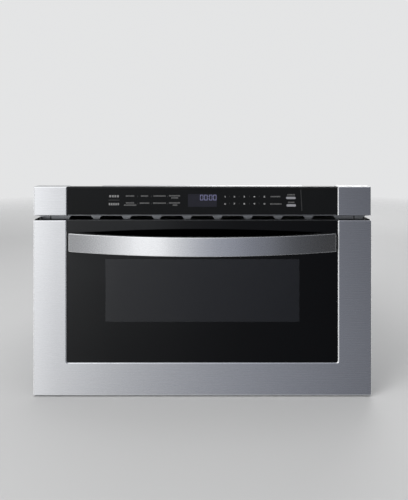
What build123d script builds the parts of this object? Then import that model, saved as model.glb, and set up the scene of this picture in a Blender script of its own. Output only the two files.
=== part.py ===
from build123d import *
import math
import os

# Built-in microwave drawer, 24-inch class. All sizes are in millimetres.
# +X is to the right as seen from the front, +Y goes back into the cabinet, +Z is up.
# The origin is the middle of the footprint, on the surface that the oven stands on.

# ------------------------------------------------------------------ driving dimensions
# Drawer front and fascia
front_w = 606.0          # drawer front and fascia, over their sides
drawer_h = 313.5         # drawer front, bottom edge to top edge
floor_gap = 3.0          # drawer front above the surface the oven stands on
vent_gap = 8.0           # open gap between the drawer front and the fascia
fascia_h = 52.0          # control fascia
fascia_setback = 2.2     # fascia behind the face of the drawer front
frame_margin = 60.0      # steel sides of the drawer front and ends of the fascia
rail_h = 58.5            # steel of the drawer front under its glass
door_t = 30.0            # drawer front, face to back
door_gap = 3.0           # drawer front to front plate
steel_t = 1.2            # formed stainless steel of the front
bend_r = 2.0             # rounded edges of the formed steel
rim_r = 2.2              # rounded edge of the steel round the door glass
plate_t = 1.5            # structural sheet
sheet_t = 1.2            # thin sheet of the tub, slides and grille

# Window, glass and handle
window_side = 68.0       # window inside the edge of the glass, at each side
window_h = 115.0
window_lap = 14.0        # inner pane over the edge of the window
inner_pane_t = 3.0
glass_t = 4.0
glass_recess = 2.0       # glass behind the steel around it
glass_corner_r = 3.0
glass_fit = 0.4          # gap round the edge of a glass
top_cap_h = 4.0          # black strip along the top of the drawer front
cap_end_gap = 3.5        # black strip short of the steel at each end
cap_front = 14.0         # full height of the black strip, behind the drawer's face
cap_step = 2.8           # black strip lower behind that
frame_wall = 2.0         # walls of the moulded frame behind the glass
screen_t = 1.0
handle_out = 50.0        # handle in front of the drawer's face, at mid length
handle_end_out = 6.0     # handle in front of the drawer's face, at its ends
handle_inset = 4.7       # handle inside the edge of the glass, at each end
handle_h = 32.5
handle_drop = 39.0       # middle of the handle under the top of the drawer front
handle_t = 9.0           # thickness at mid length
handle_foot = 18.0       # length of each foot on the glass
handle_edge_r = 1.4      # rounded long edges
handle_end_r = 1.6       # rounded upright edges at the ends
handle_screw_r = 2.5
handle_bore_gap = 0.2    # clearance round the handle's screws

# Case, cavity and tub
body_depth = 540.0       # cabinet's face to the back of the case
case_inset = 24.0        # case inside the front, at each side
case_rise = 8.5          # top of the case over the bottom of the fascia
plate_inset = 3.0        # front plate inside the outline of the front
plate_bottom_z = 8.0
flange = 14.0            # folded flanges of the sheets
side_room = 59.0         # side of the case to the inside of the food tub
head_room = 52.0         # rim of the tub to the top of the case
bay_room = 128.0         # depth of the case over the depth of the tub
tub_floor_z = 100.0      # top of the ceramic floor
tub_corner_r = 14.0
tub_rim = 3.0            # rolled rim of the tub, over the wall
ledge_w = 12.0           # ledge that carries the ceramic floor
ceramic_t = 5.0
ceramic_fit = 0.5
tub_side_gap = 4.8       # tub to cavity wall
tub_rear_gap = 8.0       # tub to cavity rear wall
tub_top_gap = 5.0        # tub rim to cavity ceiling
tub_under_gap = 17.6     # underside of the tub to the cavity floor
travel_short = 32.0      # length of the tub that stays in the case when the drawer is open

# Vent grille
slot_count = 9
slot_end = 9.0           # row of slots beyond the edge of the glass, at each end
slot_land_top = 19.0     # metal between two slots, at their tops
slot_land_bottom = 9.5
slot_h = 7.0
slot_drop = 4.0          # top of the slots under the bottom of the fascia
grille_drop = 1.0        # top of the grille under the bottom of the fascia
grille_h = 19.0
grille_lip = 8.0         # lip folded forward under the fascia
grille_hem = 2.0         # folded front edge of the lip
grille_side = 1.0        # grille inside the ends of the front plate
slit_w = 2.0             # slit near each end of the grille, beside the case
slit_h = 13.0
vent_hole_over = 5.0     # vent opening beyond the edge of the glass, at each side

# Choke cover, latches and mounting holes
choke_inside = 7.0       # tub to the inner edge of the choke cover
choke_w = 24.0
choke_t = 1.6
latch_inset = 15.0       # latch hooks inside the side of the case
latch_drop = 90.5        # foot of the latch hooks under the top of the drawer front
latch_t = 3.0
latch_reach = 34.0
latch_h = 16.0
latch_nose = 7.0
mount_hole_r = 2.75
mount_hole_inset = 10.0
mount_hole_z = (70.0, 270.0)
plate_hole_gap = 2.0     # front plate round the rack, the arms and the latches

# Slides
slide_short = 90.0       # slides shorter than the case
slide_h = 46.0
slide_t = 12.7
slide_rise = 42.0        # middle of the slides over the floor of the tub
slide_start = 6.0        # front end of the slides behind the front plate
slide_run = 0.3          # running gap of the ball cages
outer_race = 4.0         # gap between the outer and the middle member
inner_race = 3.6         # gap between the middle and the inner member
web_gap = 0.8            # gap between the webs of nested members
outer_set = 1.7          # outer member short of the slide's full thickness
cage_len = 200.0
cage_lead = 20.0         # cage kept this far inside the members
cage_w = 6.0
arm_reach = 58.0         # drawer arm along the inner member
arm_h = 30.0

# Rack drive
rack_inset = 127.5       # middle of the rack inside the side of the case
rack_w = 12.0
rack_h = 11.5            # tooth tip to back
rack_foot_h = 27.0
rack_foot_w = 26.0
rack_module = 2.0
pinion_teeth = 14
tooth_top = 0.8          # height of a rack tooth over the pitch line, in modules
pinion_w = 10.0
gear_module = 1.25
gear_teeth = 36
motor_teeth = 14
gear_w = 8.0
gear_left = 24.0         # gear's left face to the middle of the rack
backlash = 0.25
pressure_angle = 20.0
shaft_r = 4.0
motor_shaft_r = 2.5
shaft_z = 28.0
pinion_back = 40.0       # drive shaft behind the cabinet's face
run_gap = 0.05           # shafts in their bushes
bush_r = 6.5             # half the width of a bush over its flats
bracket_t = 2.0
bracket_left = 28.0      # middle of the rack to the left wall of the drive bracket
bracket_right = 12.0
bracket_side = 20.0      # bracket in front of and behind the drive shaft
bracket_over = 12.0      # bracket over the back of the rack
guide_run = 0.3          # rack guide to the rack
gear_clear = 1.0         # room beside and over moving gears
drive_motor_r = 17.0
drive_can_r = 14.0
gearbox_len = 22.0
drive_motor_len = 58.0

# Microwave feed
guide_w = 90.0           # waveguide, outside
guide_h = 40.0
well_r = 100.0           # stirrer well in the cavity floor
well_depth = 15.0
well_cover_t = 2.5
well_cover_lap = 6.0
port_w = 56.0            # square port from the waveguide into the well
stirrer_r = 84.0
stirrer_hub_r = 9.0
stirrer_t = 2.0
stirrer_blades = 3
stirrer_pitch = 9.0      # degrees
stirrer_motor_r = 24.0
stirrer_motor_h = 14.0
magnetron_w = 94.0
magnetron_d = 80.0
magnetron_h = 92.0
magnetron_plate = 2.0
fin_count = 6
fin_t = 1.2
anode_r = 21.0
magnet_r = 28.0
magnet_h = 13.0
antenna_r = 8.0
antenna_h = 22.0

# Machine bay
fan_x = -126.0           # fan plate, face on the magnetron's side
fan_r = 46.0
fan_tip_gap = 3.0
fan_hub_r = 13.0
fan_blades = 5
fan_ring_t = 2.5
fan_ring_len = 26.0
fan_plate_w = 112.0
fan_motor_r = 24.0
fan_motor_len = 30.0
duct_t = 2.0
fan_arm_w = 5.0
blade_root_angle = 48.0  # degrees
blade_tip_angle = 30.0
blade_root_t = 1.8
blade_tip_t = 1.4
blade_over = 4.0         # blade drawn past the tip circle, then cut back to it
transformer_inset = 58.5 # middle of the transformer inside the side of the case
transformer_w = 92.0
transformer_d = 70.0
transformer_h = 78.0
core_leg = 17.0
coil_over = 11.0         # coils in front of and behind the core
coil_gap = 6.0           # between the two coils
capacitor_gap = 54.0     # middle of the capacitor to the middle of the rack
capacitor_w = 52.0
capacitor_d = 34.0
capacitor_h = 95.0
terminal_w = 6.0
terminal_h = 9.0
lamp_inset = 76.0        # lamp inside the side of the cavity
lamp_drop = 41.0         # lamp under the ceiling of the cavity
lamp_r = 20.0
lamp_len = 34.0
lamp_hole_r = 2.5
lamp_hole_pitch = 8.0
board_t = 1.6
power_board_inset = 116.0
power_board_drop = 51.0
power_board_w = 130.0
power_board_h = 80.0
standoff = 8.0
post_w = 6.0             # standoff posts of the boards
part_margin = 12.0       # components inside the edge of the power board
relay_size = (28.0, 20.0, 16.0)
relay_pitch = 30.0
choke_coil_r = 13.0
choke_coil_h = 18.0
fuse_size = (25.0, 8.0, 8.0)
vent_slot_w = 60.0       # air slots of the side and rear panels
vent_slot_h = 6.0
vent_slot_pitch = 14.0
vent_rows = 8
cord_hole_inset = 42.5   # cord hole inside the side of the case
cord_hole_z = 34.0
cord_hole_r = 9.0
grommet_lip = 3.0

# Pressed beads that stiffen the case's sheets
bead_h = 1.5
bead_w = 14.0
bead_margin = 50.0       # beads inside the ends of a side panel
top_bead_margin = 46.0   # raised panel of the top cover inside its edges
side_bead_rise = (-62.0, 62.0, 124.0)    # beads from the middle of the slides

# Interlock switches
switch_size = (10.0, 28.0, 11.0)
switch_pitch = 14.0
switch_back = 14.0       # front end of the switches behind the front plate
switch_drop = 1.5        # upper switch under the latch hook
holder_depth = 50.0
holder_low = 40.0        # holder under and over the foot of the latch hook
holder_over = 20.0
plunger_w = 4.0
plunger_len = 5.0
plunger_y = 26.0

# Ceiling slots of the cavity
ceiling_slots = 9
ceiling_slot_w = 6.0
ceiling_slot_len = 60.0
ceiling_slot_pitch = 20.0
ceiling_slot_back = 120.0

# Controls
housing_wall = 2.0
housing_fit = 0.3
display_x = 1.0
display_w = 56.0
display_h = 26.0
display_rise = 0.5       # display over the middle of the fascia
display_t = 8.0
display_rim = 2.0        # case of the display round its window
control_board_w = 330.0
control_board_h = 38.0
chip_w = 18.0
chip_t = 2.0
chip_x = -60.0
plug_size = (30.0, 8.0, 9.0)
plug_x = 90.0
fascia_recess = 1.0      # fascia glass behind the face of the end caps
fascia_glass_rise = 1.8  # bottom edge of the fascia glass over the end caps' bottom
fascia_lip_h = 3.4       # black lip of the tray over the fascia glass
fascia_lip_back = 0.5    # lip behind the face of the end caps

# Screws
screw_r = 2.0
screw_head_r = 4.0
screw_head_h = 2.2
screw_len = 6.0
screw_inset = 60.0       # screws from the front and the back of the case

# ------------------------------------------------------------------ derived positions
half_w = front_w / 2
case_w = front_w - 2 * case_inset
tub_w = case_w - 2 * side_room               # inside of the food tub
tub_d = body_depth - bay_room
travel = tub_d - travel_short                # opening travel of the drawer
slide_len = body_depth - slide_short
total_depth = handle_out + door_t + door_gap + plate_t + body_depth
front_y = handle_out - total_depth / 2       # face of the drawer front
door_back_y = front_y + door_t               # back of the drawer front
plate_y = door_back_y + door_gap             # front of the front plate
seat_y = plate_y + plate_t                   # plane that meets the cabinet's face
back_y = seat_y + body_depth
fascia_y = front_y + fascia_setback
glass_y = front_y + glass_recess
glass_back_y = glass_y + glass_t
pan_y = door_back_y - plate_t                # front of the door pan's back wall
fascia_glass_y = fascia_y + fascia_recess
fascia_back_y = fascia_glass_y + glass_t     # back of the fascia glass

drawer_z0 = floor_gap
drawer_z1 = floor_gap + drawer_h
fascia_z0 = drawer_z1 + vent_gap
fascia_z1 = fascia_z0 + fascia_h
glass_half_w = half_w - frame_margin
glass_z0 = drawer_z0 + rail_h
window_w = 2 * (glass_half_w - window_side)
window_z0 = (glass_z0 + drawer_z1 - window_h) / 2
window_z1 = window_z0 + window_h
handle_len = 2 * (glass_half_w - handle_inset)
handle_z = drawer_z1 - handle_drop
display_z = (fascia_z0 + fascia_z1) / 2 + display_rise
slot_pitch = 2 * (glass_half_w + slot_end) / slot_count
vent_hole_w = 2 * (glass_half_w + vent_hole_over)

case_h = fascia_z0 + case_rise
case_half = case_w / 2
case_in = case_half - plate_t                # inner face of the case sides
case_top_in = case_h - plate_t
rear_in_y = back_y - plate_t                 # inner face of the rear panel
plate_half = half_w - plate_inset
plate_top_z = fascia_z1 - plate_inset
mount_hole_x = plate_half - mount_hole_inset
latch_x = case_half - latch_inset
latch_z = drawer_z1 - latch_drop

tub_out = tub_w / 2 + sheet_t                # outer face of a tub wall
tub_rim_z = case_h - head_room
ledge_z = tub_floor_z - ceramic_t            # top of the ledge under the ceramic floor
tub_bottom_z = ledge_z - sheet_t
tub_back_y = door_back_y + tub_d + sheet_t
cav_half = tub_out + tub_side_gap
cav_floor_z = tub_bottom_z - tub_under_gap
cav_ceil_z = tub_rim_z + tub_top_gap
cav_back_y = tub_back_y + tub_rear_gap
cav_mid_y = (seat_y + cav_back_y) / 2
bay_y = cav_back_y + plate_t                 # front of the machine bay
bay_mid_y = (bay_y + rear_in_y) / 2
well_bottom_z = cav_floor_z - well_depth     # upper face of the well's bottom

slide_y = seat_y + slide_start
slide_z = tub_floor_z + slide_rise           # middle of the slides
rack_x = case_in - rack_inset                # middle of the rack
transformer_x = case_in - transformer_inset
capacitor_x = rack_x - capacitor_gap
lamp_x = lamp_inset - cav_half
lamp_z = cav_ceil_z - lamp_drop
power_board_x = cav_half - power_board_inset
power_board_z = cav_ceil_z - power_board_drop
cord_hole_x = cord_hole_inset - case_in
slide_in_x = case_in - slide_t               # inner face of a slide's inner member
pinion_y = seat_y + pinion_back
pinion_pitch_r = rack_module * pinion_teeth / 2
gear_pitch_r = gear_module * gear_teeth / 2
motor_pitch_r = gear_module * motor_teeth / 2
motor_y = pinion_y + gear_pitch_r + motor_pitch_r
rack_pitch_z = shaft_z + pinion_pitch_r
rack_tip_z = rack_pitch_z - tooth_top * rack_module
rack_top_z = rack_tip_z + rack_h
bracket_x = (rack_x - bracket_left, rack_x + bracket_right)   # between its walls
bracket_top_z = rack_top_z + bracket_over
gear_x = rack_x - gear_left

guide_top_z = well_bottom_z - plate_t
guide_z = guide_top_z - guide_h
guide_y = (cav_mid_y - guide_w / 2, bay_mid_y + guide_w / 2)
fan_z = guide_top_z + magnetron_h / 2
fan_ring_x = fan_x - fan_ring_len
fan_ring_r = fan_r + fan_tip_gap
fan_motor_x = fan_ring_x - fan_motor_len

screw_y = (seat_y + screw_inset, back_y - screw_inset)
screw_z = (plate_t + flange / 2, case_top_in - flange / 2)


# ------------------------------------------------------------------ small helpers
def slab(x, y, z):
    """A block from its low and high limits along each axis."""
    size = [high - low for low, high in (x, y, z)]
    middle = [(low + high) / 2 for low, high in (x, y, z)]
    return Pos(*middle) * Box(*size)


def around(middle, size):
    """Low and high limits of a size about its middle."""
    return middle - size / 2, middle + size / 2


def rod_x(radius, x, y, z):
    """A round bar along X, from x[0] to x[1]."""
    bar = Rot(0, 90, 0) * Cylinder(radius, x[1] - x[0])
    return Pos((x[0] + x[1]) / 2, y, z) * bar


def rod_y(radius, x, y, z):
    """A round bar along Y, from y[0] to y[1]."""
    bar = Rot(90, 0, 0) * Cylinder(radius, y[1] - y[0])
    return Pos(x, (y[0] + y[1]) / 2, z) * bar


def rod_z(radius, x, y, z):
    """A round bar along Z, from z[0] to z[1]."""
    return Pos(x, y, (z[0] + z[1]) / 2) * Cylinder(radius, z[1] - z[0])


def facets_x(radius, sides, x):
    """A many-sided bar along X on the X axis. radius is its inscribed circle."""
    face = Plane.YZ.offset(x[0]) * RegularPolygon(radius, sides, major_radius=False)
    return extrude(face, x[1] - x[0])


def facets_y(radius, sides, y):
    """A many-sided bar along Y on the Y axis. radius is its inscribed circle."""
    face = Plane.XZ.offset(-y[0]) * RegularPolygon(radius, sides, major_radius=False)
    return extrude(face, y[0] - y[1])


def facets_z(radius, sides, z):
    """A many-sided bar along Z on the Z axis. radius is its inscribed circle."""
    face = Plane.XY.offset(z[0]) * RegularPolygon(radius, sides, major_radius=False)
    return extrude(face, z[1] - z[0])


def mirrored(shape):
    """The left-hand twin of a right-hand piece."""
    return mirror(shape, about=Plane.YZ)


def both_sides(shape):
    """A right-hand piece and its left-hand twin, as separate solids of one node."""
    return group(shape, mirrored(shape))


def group(*shapes):
    """Separate solids of one node."""
    return Compound([solid for shape in shapes for solid in shape.solids()])


def side_face(x, points):
    """A closed outline in (y, z) at a given x, facing +X."""
    return Plane.YZ.offset(x) * make_face(Polyline(*points, close=True))


def bead(plane, length, width, depth):
    """A pressed bead with sloping sides and cut corners, from a plane along its normal."""
    face = Rectangle(length, width)
    face = chamfer(face.vertices(), bead_w / 3)
    return extrude(plane * face, depth, taper=45)


def pressed(sheet, plane, length, width):
    """A sheet with a bead pushed out along a plane's normal. The plane lies on its outer face."""
    raised = bead(plane, length, width, bead_h)
    hollow = bead(plane.offset(-plate_t), length - plate_t, width - plate_t, bead_h)
    return sheet + raised - hollow


# ------------------------------------------------------------------ drawer front
def front_panel():
    """Steel border of the drawer front: one formed sheet round three sides of the glass."""
    back = front_y + door_t - plate_t
    block = slab((-half_w, half_w), (front_y, back), (drawer_z0, drawer_z1))
    block = fillet(block.edges().group_by(Axis.Y)[0], bend_r)
    opening_h = drawer_z1 - glass_z0 + 2 * glass_corner_r
    opening = Rectangle(2 * glass_half_w, opening_h)
    opening = fillet(opening.vertices().group_by(Axis.Y)[0], glass_corner_r)
    hole = extrude(Plane.XZ * Pos(0, glass_z0 + opening_h / 2) * opening, front_w, both=True)
    border = block - hole
    face_edges = border.edges().group_by(Axis.Y)[0]
    rim = [
        edge
        for edge in face_edges
        if abs(edge.center().X) < glass_half_w + bend_r / 2
        and glass_z0 - bend_r / 2 < edge.center().Z < drawer_z1 - bend_r / 2
    ]
    border = fillet(rim, rim_r)
    hollow = slab(
        (-half_w + steel_t, half_w - steel_t),
        (front_y + steel_t, back),
        (drawer_z0 + steel_t, drawer_z1),
    )
    lining = slab(
        (-glass_half_w - steel_t, glass_half_w + steel_t),
        (front_y, glass_back_y + rim_r),
        (glass_z0 - steel_t, drawer_z1),
    )
    return border - (hollow - lining)


def handle_screw_x():
    return handle_len / 2 - handle_foot / 2


def handle_bores(y):
    """Clearance bores for the two handle screws."""
    x = handle_screw_x()
    bore = facets_y(handle_screw_r + handle_bore_gap, 12, y)
    return both_sides(Pos(x, 0, handle_z) * bore)


def door_glass():
    """Black outer glass, with two holes for the handle's screws."""
    height = drawer_z1 - glass_z0 - glass_fit
    pane = Rectangle(2 * (glass_half_w - glass_fit), height)
    pane = fillet(pane.vertices().group_by(Axis.Y)[0], glass_corner_r - glass_fit)
    face = Plane.XZ.offset(-glass_y) * Pos(0, drawer_z1 - height / 2) * pane
    glass = extrude(face, -glass_t)
    return glass - handle_bores((glass_y - 1, glass_back_y + 1))


def door_frame():
    """Moulded frame behind the glass: an open channel round the window, under a top cap."""
    y = (glass_back_y, pan_y)
    x = glass_half_w - bend_r
    z = (glass_z0 + bend_r, drawer_z1 - top_cap_h)
    pan_lip_z = z[1] - plate_t
    open_x = window_w / 2 + window_lap - frame_wall
    open_z = (window_z0 - window_lap + frame_wall, window_z1 + window_lap - frame_wall)
    ring = slab((-x, x), y, z) - slab((-open_x, open_x), y, open_z)
    channel = slab(
        (-x + frame_wall, x - frame_wall),
        (y[0] + frame_wall, y[1]),
        (z[0] + frame_wall, z[1]),
    )
    channel -= slab(
        (-open_x - frame_wall, open_x + frame_wall),
        y,
        (open_z[0] - frame_wall, open_z[1] + frame_wall),
    )
    cap_x = half_w - steel_t - cap_end_gap
    cap = slab((-cap_x, cap_x), (front_y + steel_t, door_back_y), (z[1], drawer_z1))
    cap -= slab((-glass_half_w, glass_half_w), (front_y, glass_back_y), (z[1], drawer_z1))
    for side in (-1, 1):
        lining = sorted((side * glass_half_w, side * (glass_half_w + steel_t)))
        cap -= slab(lining, (front_y, glass_back_y + rim_r), (z[1], drawer_z1))
    cap -= slab((-cap_x, cap_x), (front_y + cap_front, door_back_y), (drawer_z1 - cap_step, drawer_z1))
    bores = handle_bores((y[0] - 1, y[0] + frame_wall + 1))
    pan_lip = slab((-x, x), (pan_y - flange, pan_y), (pan_lip_z, z[1]))
    return ring - channel - bores - pan_lip + cap


def door_pan():
    """Pressed steel pan that closes the back of the drawer front, with the window cut in it."""
    x = half_w - steel_t
    z = (drawer_z0 + steel_t, drawer_z1 - top_cap_h)
    y0 = pan_y - flange
    pan = slab((-x, x), (y0, door_back_y), z)
    pan -= slab((-x + plate_t, x - plate_t), (y0, pan_y), (z[0] + plate_t, z[1] - plate_t))
    return pan - slab(around(0, window_w), (pan_y, door_back_y), (window_z0, window_z1))


def window_screen():
    """Screen behind the window. Its fine perforation isn't cut."""
    lap = window_lap - frame_wall
    return slab(
        around(0, window_w + 2 * lap),
        (pan_y - screen_t, pan_y),
        (window_z0 - lap, window_z1 + lap),
    )


def inner_window():
    """Clear inner pane on the food side of the window."""
    lap = window_lap
    pane = slab(
        around(0, window_w + 2 * lap),
        (door_back_y, door_back_y + inner_pane_t),
        (window_z0 - lap, window_z1 + lap),
    )
    return fillet(pane.edges().filter_by(Axis.Y), lap / 2)


def choke_cover():
    """Plastic ring over the choke, round the mouth of the tub."""
    inside = (tub_out + choke_inside, cav_floor_z + bend_r, cav_ceil_z + choke_inside - bend_r)
    x, z0, z1 = inside
    y = (door_back_y, door_back_y + choke_t)
    ring = slab((-x - choke_w, x + choke_w), y, (z0 - choke_w / 2, z1 + choke_w / 2))
    ring = fillet(ring.edges().filter_by(Axis.Y), choke_w / 3)
    notch_z = (z0 - choke_w / 2, rack_tip_z + rack_foot_h + gear_clear)
    notch = slab(around(rack_x, rack_foot_w + 2 * bend_r), y, notch_z)
    return ring - slab((-x, x), y, (z0, z1)) - notch


def handle():
    """Bowed bar handle that rises from two feet on the glass."""
    half = handle_len / 2
    heel = half - handle_foot
    tip = front_y - handle_end_out
    crown = front_y - handle_out
    outline = make_face(
        [
            ThreePointArc((-half, tip), (0, crown), (half, tip)),
            Line((half, tip), (half, glass_y)),
            Line((half, glass_y), (heel, glass_y)),
            ThreePointArc((heel, glass_y), (0, crown + handle_t), (-heel, glass_y)),
            Line((-heel, glass_y), (-half, glass_y)),
            Line((-half, glass_y), (-half, tip)),
        ]
    )
    bar = extrude(Plane.XY.offset(handle_z - handle_h / 2) * outline, handle_h)
    bar = fillet(bar.edges().filter_by(Axis.Z).group_by(Axis.Y)[0], handle_end_r)
    bows = bar.edges().filter_by(GeomType.CIRCLE)
    bar = fillet(bows.sort_by(SortBy.LENGTH)[-2:], handle_edge_r)
    return bar - handle_bores((glass_y - 3 * handle_screw_r, glass_y + 1))


def handle_screws():
    """Two screws from inside the moulded frame into the handle's feet."""
    x = handle_screw_x()
    head_y = glass_back_y + frame_wall
    shank = facets_y(handle_screw_r, 12, (glass_y - 2.5 * handle_screw_r, head_y))
    head = facets_y(2 * handle_screw_r, 6, (head_y, head_y + handle_screw_r))
    return both_sides(Pos(x, 0, handle_z) * (shank + head))


# ------------------------------------------------------------------ drawer carriage
def food_tub():
    """Deep-drawn tub with a rolled rim, open at the top, and a ledge for the ceramic floor."""
    y = (door_back_y, tub_back_y)
    block = slab((-tub_out, tub_out), y, (tub_bottom_z, tub_rim_z))
    block = fillet(block.edges().filter_by(Axis.Z).group_by(Axis.Y)[-1], tub_corner_r)
    rim = slab(
        (-tub_out - tub_rim, tub_out + tub_rim),
        (y[0], y[1] + tub_rim),
        (tub_rim_z - sheet_t, tub_rim_z),
    )
    rim = fillet(rim.edges().filter_by(Axis.Z).group_by(Axis.Y)[-1], tub_corner_r + tub_rim)
    room = slab((-tub_w / 2, tub_w / 2), (y[0], y[1] - sheet_t), (ledge_z, tub_rim_z))
    room = fillet(room.edges().filter_by(Axis.Z).group_by(Axis.Y)[-1], tub_corner_r - sheet_t)
    port = slab(
        (-tub_w / 2 + ledge_w, tub_w / 2 - ledge_w),
        (y[0] + ledge_w, y[1] - sheet_t - ledge_w),
        (tub_bottom_z, ledge_z),
    )
    return block + rim - room - port


def ceramic_floor():
    """Glass-ceramic floor plate of the tub."""
    plate = slab(
        (-tub_w / 2 + ceramic_fit, tub_w / 2 - ceramic_fit),
        (door_back_y + ceramic_fit, tub_back_y - sheet_t - ceramic_fit),
        (ledge_z, tub_floor_z),
    )
    return fillet(plate.edges().filter_by(Axis.Z).group_by(Axis.Y)[-1], tub_corner_r)


def drawer_arms():
    """Brackets that tie the drawer front to the inner members of the slides."""
    web = slab(
        (slide_in_x - bracket_t, slide_in_x),
        (door_back_y, slide_y + arm_reach),
        around(slide_z, arm_h),
    )
    foot = slab(
        (slide_in_x - bracket_t, case_in - outer_set),
        (door_back_y, door_back_y + bracket_t),
        around(slide_z, slide_h),
    )
    return both_sides(web + foot)


def latch_hooks():
    """Latch tongues on the back of the drawer front, hooked at their tips."""
    y0, tip = door_back_y, door_back_y + latch_reach
    step = latch_nose - bend_r
    points = [
        (y0, 0), (tip, 0), (tip, latch_nose), (tip - step, latch_h),
        (tip - 2 * step, latch_h), (tip - 2 * step, latch_nose), (y0, latch_nose),
    ]
    outline = [(y, latch_z + z) for y, z in points]
    return both_sides(extrude(side_face(latch_x - latch_t / 2, outline), latch_t))


# ------------------------------------------------------------------ slides
def slide_member(u0, u1, v, opens_inward):
    """C-section of a slide member. u runs from the case wall inwards, v is half its height."""
    block = Pos((u0 + u1) / 2, 0) * Rectangle(u1 - u0, 2 * v)
    low, high = (u0 + sheet_t, u1) if opens_inward else (u0, u1 - sheet_t)
    return block - Pos((low + high) / 2, 0) * Rectangle(high - low, 2 * (v - sheet_t))


def slide_piece(name):
    """One piece of the right-hand telescopic slide."""
    v_outer = slide_h / 2
    v_middle = v_outer - sheet_t - outer_race
    v_inner = v_middle - sheet_t - inner_race
    u_middle = sheet_t + web_gap
    u_inner = u_middle + sheet_t + web_gap
    u_open = slide_t - outer_set
    if name == "outer":
        section = slide_member(0, u_open, v_outer, True)
    elif name == "middle":
        section = slide_member(u_middle, u_open, v_middle, True)
    elif name == "inner":
        section = slide_member(u_inner, slide_t, v_inner, False)
    else:
        low, high = (v_middle, v_outer) if name == "outer_cage" else (v_inner, v_middle)
        depth = high - sheet_t - low - 2 * slide_run
        strip = Pos((u_inner + u_open) / 2, low + slide_run + depth / 2) * Rectangle(cage_w, depth)
        section = strip + mirror(strip, about=Plane.XZ)
    is_cage = name.endswith("cage")
    start = travel / 4 + cage_lead if is_cage else 0
    length = cage_len if is_cage else slide_len
    plane = Plane(origin=(case_in, slide_y + start, slide_z), x_dir=(-1, 0, 0), z_dir=(0, 1, 0))
    return extrude(plane * section, length)


# ------------------------------------------------------------------ rack drive
def gear_face(module, teeth, bore_r, phase):
    """Spur gear with straight flanks between points of the involute. phase turns a tooth, in degrees."""
    pitch_r = module * teeth / 2
    alpha = math.radians(pressure_angle)
    base_r = pitch_r * math.cos(alpha)
    tip_r = pitch_r + module
    root_r = pitch_r - 1.25 * module
    half_pitch = math.pi / (2 * teeth) - backlash / (4 * pitch_r)
    half_base = half_pitch + math.tan(alpha) - alpha
    start_r = max(base_r, root_r)
    flank = []
    for r in (start_r, tip_r):
        turn = math.acos(base_r / r)
        flank.append((r, half_base - math.tan(turn) + turn))
    if root_r < base_r:
        flank.insert(0, (root_r, half_base))
    points = []
    for n in range(teeth):
        middle = math.radians(phase) + 2 * math.pi * n / teeth
        tooth = [(r, middle - a) for r, a in flank]
        tooth += [(r, middle + a) for r, a in reversed(flank)]
        points += [(r * math.cos(a), r * math.sin(a)) for r, a in tooth]
    face = make_face(Polyline(*points, close=True))
    return face - RegularPolygon(bore_r, 12, major_radius=False) if bore_r else face


def gear_at(face, x0, width, y, z):
    """A gear face, drawn in (y, z), pulled along X."""
    return extrude(Plane(origin=(x0, y, z), x_dir=(0, 1, 0), z_dir=(1, 0, 0)) * face, width)


def drawer_rack():
    """Toothed rack under the cavity floor, teeth down, with a foot on the drawer front."""
    pitch = math.pi * rack_module
    slope = math.tan(math.radians(pressure_angle))
    tooth = pitch / 4 - backlash / 4
    root_z = rack_pitch_z + 1.25 * rack_module
    tip_half = tooth - tooth_top * rack_module * slope
    root_half = tooth + 1.25 * rack_module * slope
    spare = bracket_side / pitch
    first, last = -math.floor(spare), math.ceil(travel / pitch + spare)
    rear = pinion_y + (last + 1) * pitch
    points = [(door_back_y, rack_top_z), (door_back_y, root_z)]
    for n in range(first, last + 1):
        y = pinion_y + n * pitch
        points += [
            (y - root_half, root_z), (y - tip_half, rack_tip_z),
            (y + tip_half, rack_tip_z), (y + root_half, root_z),
        ]
    points += [(rear, root_z), (rear, rack_top_z)]
    bar = extrude(side_face(rack_x - rack_w / 2, points), rack_w)
    foot = slab(
        around(rack_x, rack_foot_w),
        (door_back_y, door_back_y + bracket_t),
        (rack_tip_z, rack_tip_z + rack_foot_h),
    )
    return bar + foot


def rack_guide():
    """Plastic shoe between the bracket's walls that keeps the rack down on its pinion."""
    y = around(pinion_y, 1.2 * bracket_side)
    low = rack_top_z - rack_module
    shoe = slab(bracket_x, y, (low, bracket_top_z))
    groove = slab(around(rack_x, rack_w + 2 * guide_run), y, (low, rack_top_z + guide_run))
    relief = slab((bracket_x[0], gear_x + gear_w + gear_clear), y, (low, rack_top_z + gear_clear))
    return shoe - groove - relief


def drive_bracket():
    """Folded steel bracket on the base that carries the drive shaft, the guide and the motor."""
    left, right = bracket_x
    y = (pinion_y - bracket_side, pinion_y + bracket_side)
    motor_end = motor_y + drive_motor_r + bracket_t
    left_wall = slab((left - bracket_t, left), (y[0], motor_end), (plate_t, bracket_top_z))
    right_wall = slab((right, right + bracket_t), y, (plate_t, bracket_top_z))
    floor = slab((left, right), y, (plate_t, 2 * plate_t))
    bracket = left_wall + right_wall + floor
    at_shaft = Pos(0, pinion_y, shaft_z)
    bracket -= at_shaft * facets_x(bush_r, 6, (left - bracket_t, right + bracket_t))
    motor_hole_r = motor_pitch_r + 2 * gear_module
    return bracket - rod_x(motor_hole_r, (left - 2 * bracket_t, left), motor_y, shaft_z)


def drive_bushes():
    """Two bronze bushes of the drive shaft, hexagonal outside, in the walls of the bracket."""
    left, right = bracket_x
    bushes = []
    for x in ((left - bracket_t, left), (right, right + bracket_t)):
        ring = facets_x(bush_r, 6, x) - facets_x(shaft_r + run_gap, 16, x)
        bushes.append(Pos(0, pinion_y, shaft_z) * ring)
    return group(*bushes)


def drive_shaft():
    """Cross shaft of the rack drive."""
    left, right = bracket_x
    return rod_x(shaft_r, (left - 2 * bracket_t, right + 2 * bracket_t), pinion_y, shaft_z)


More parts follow.
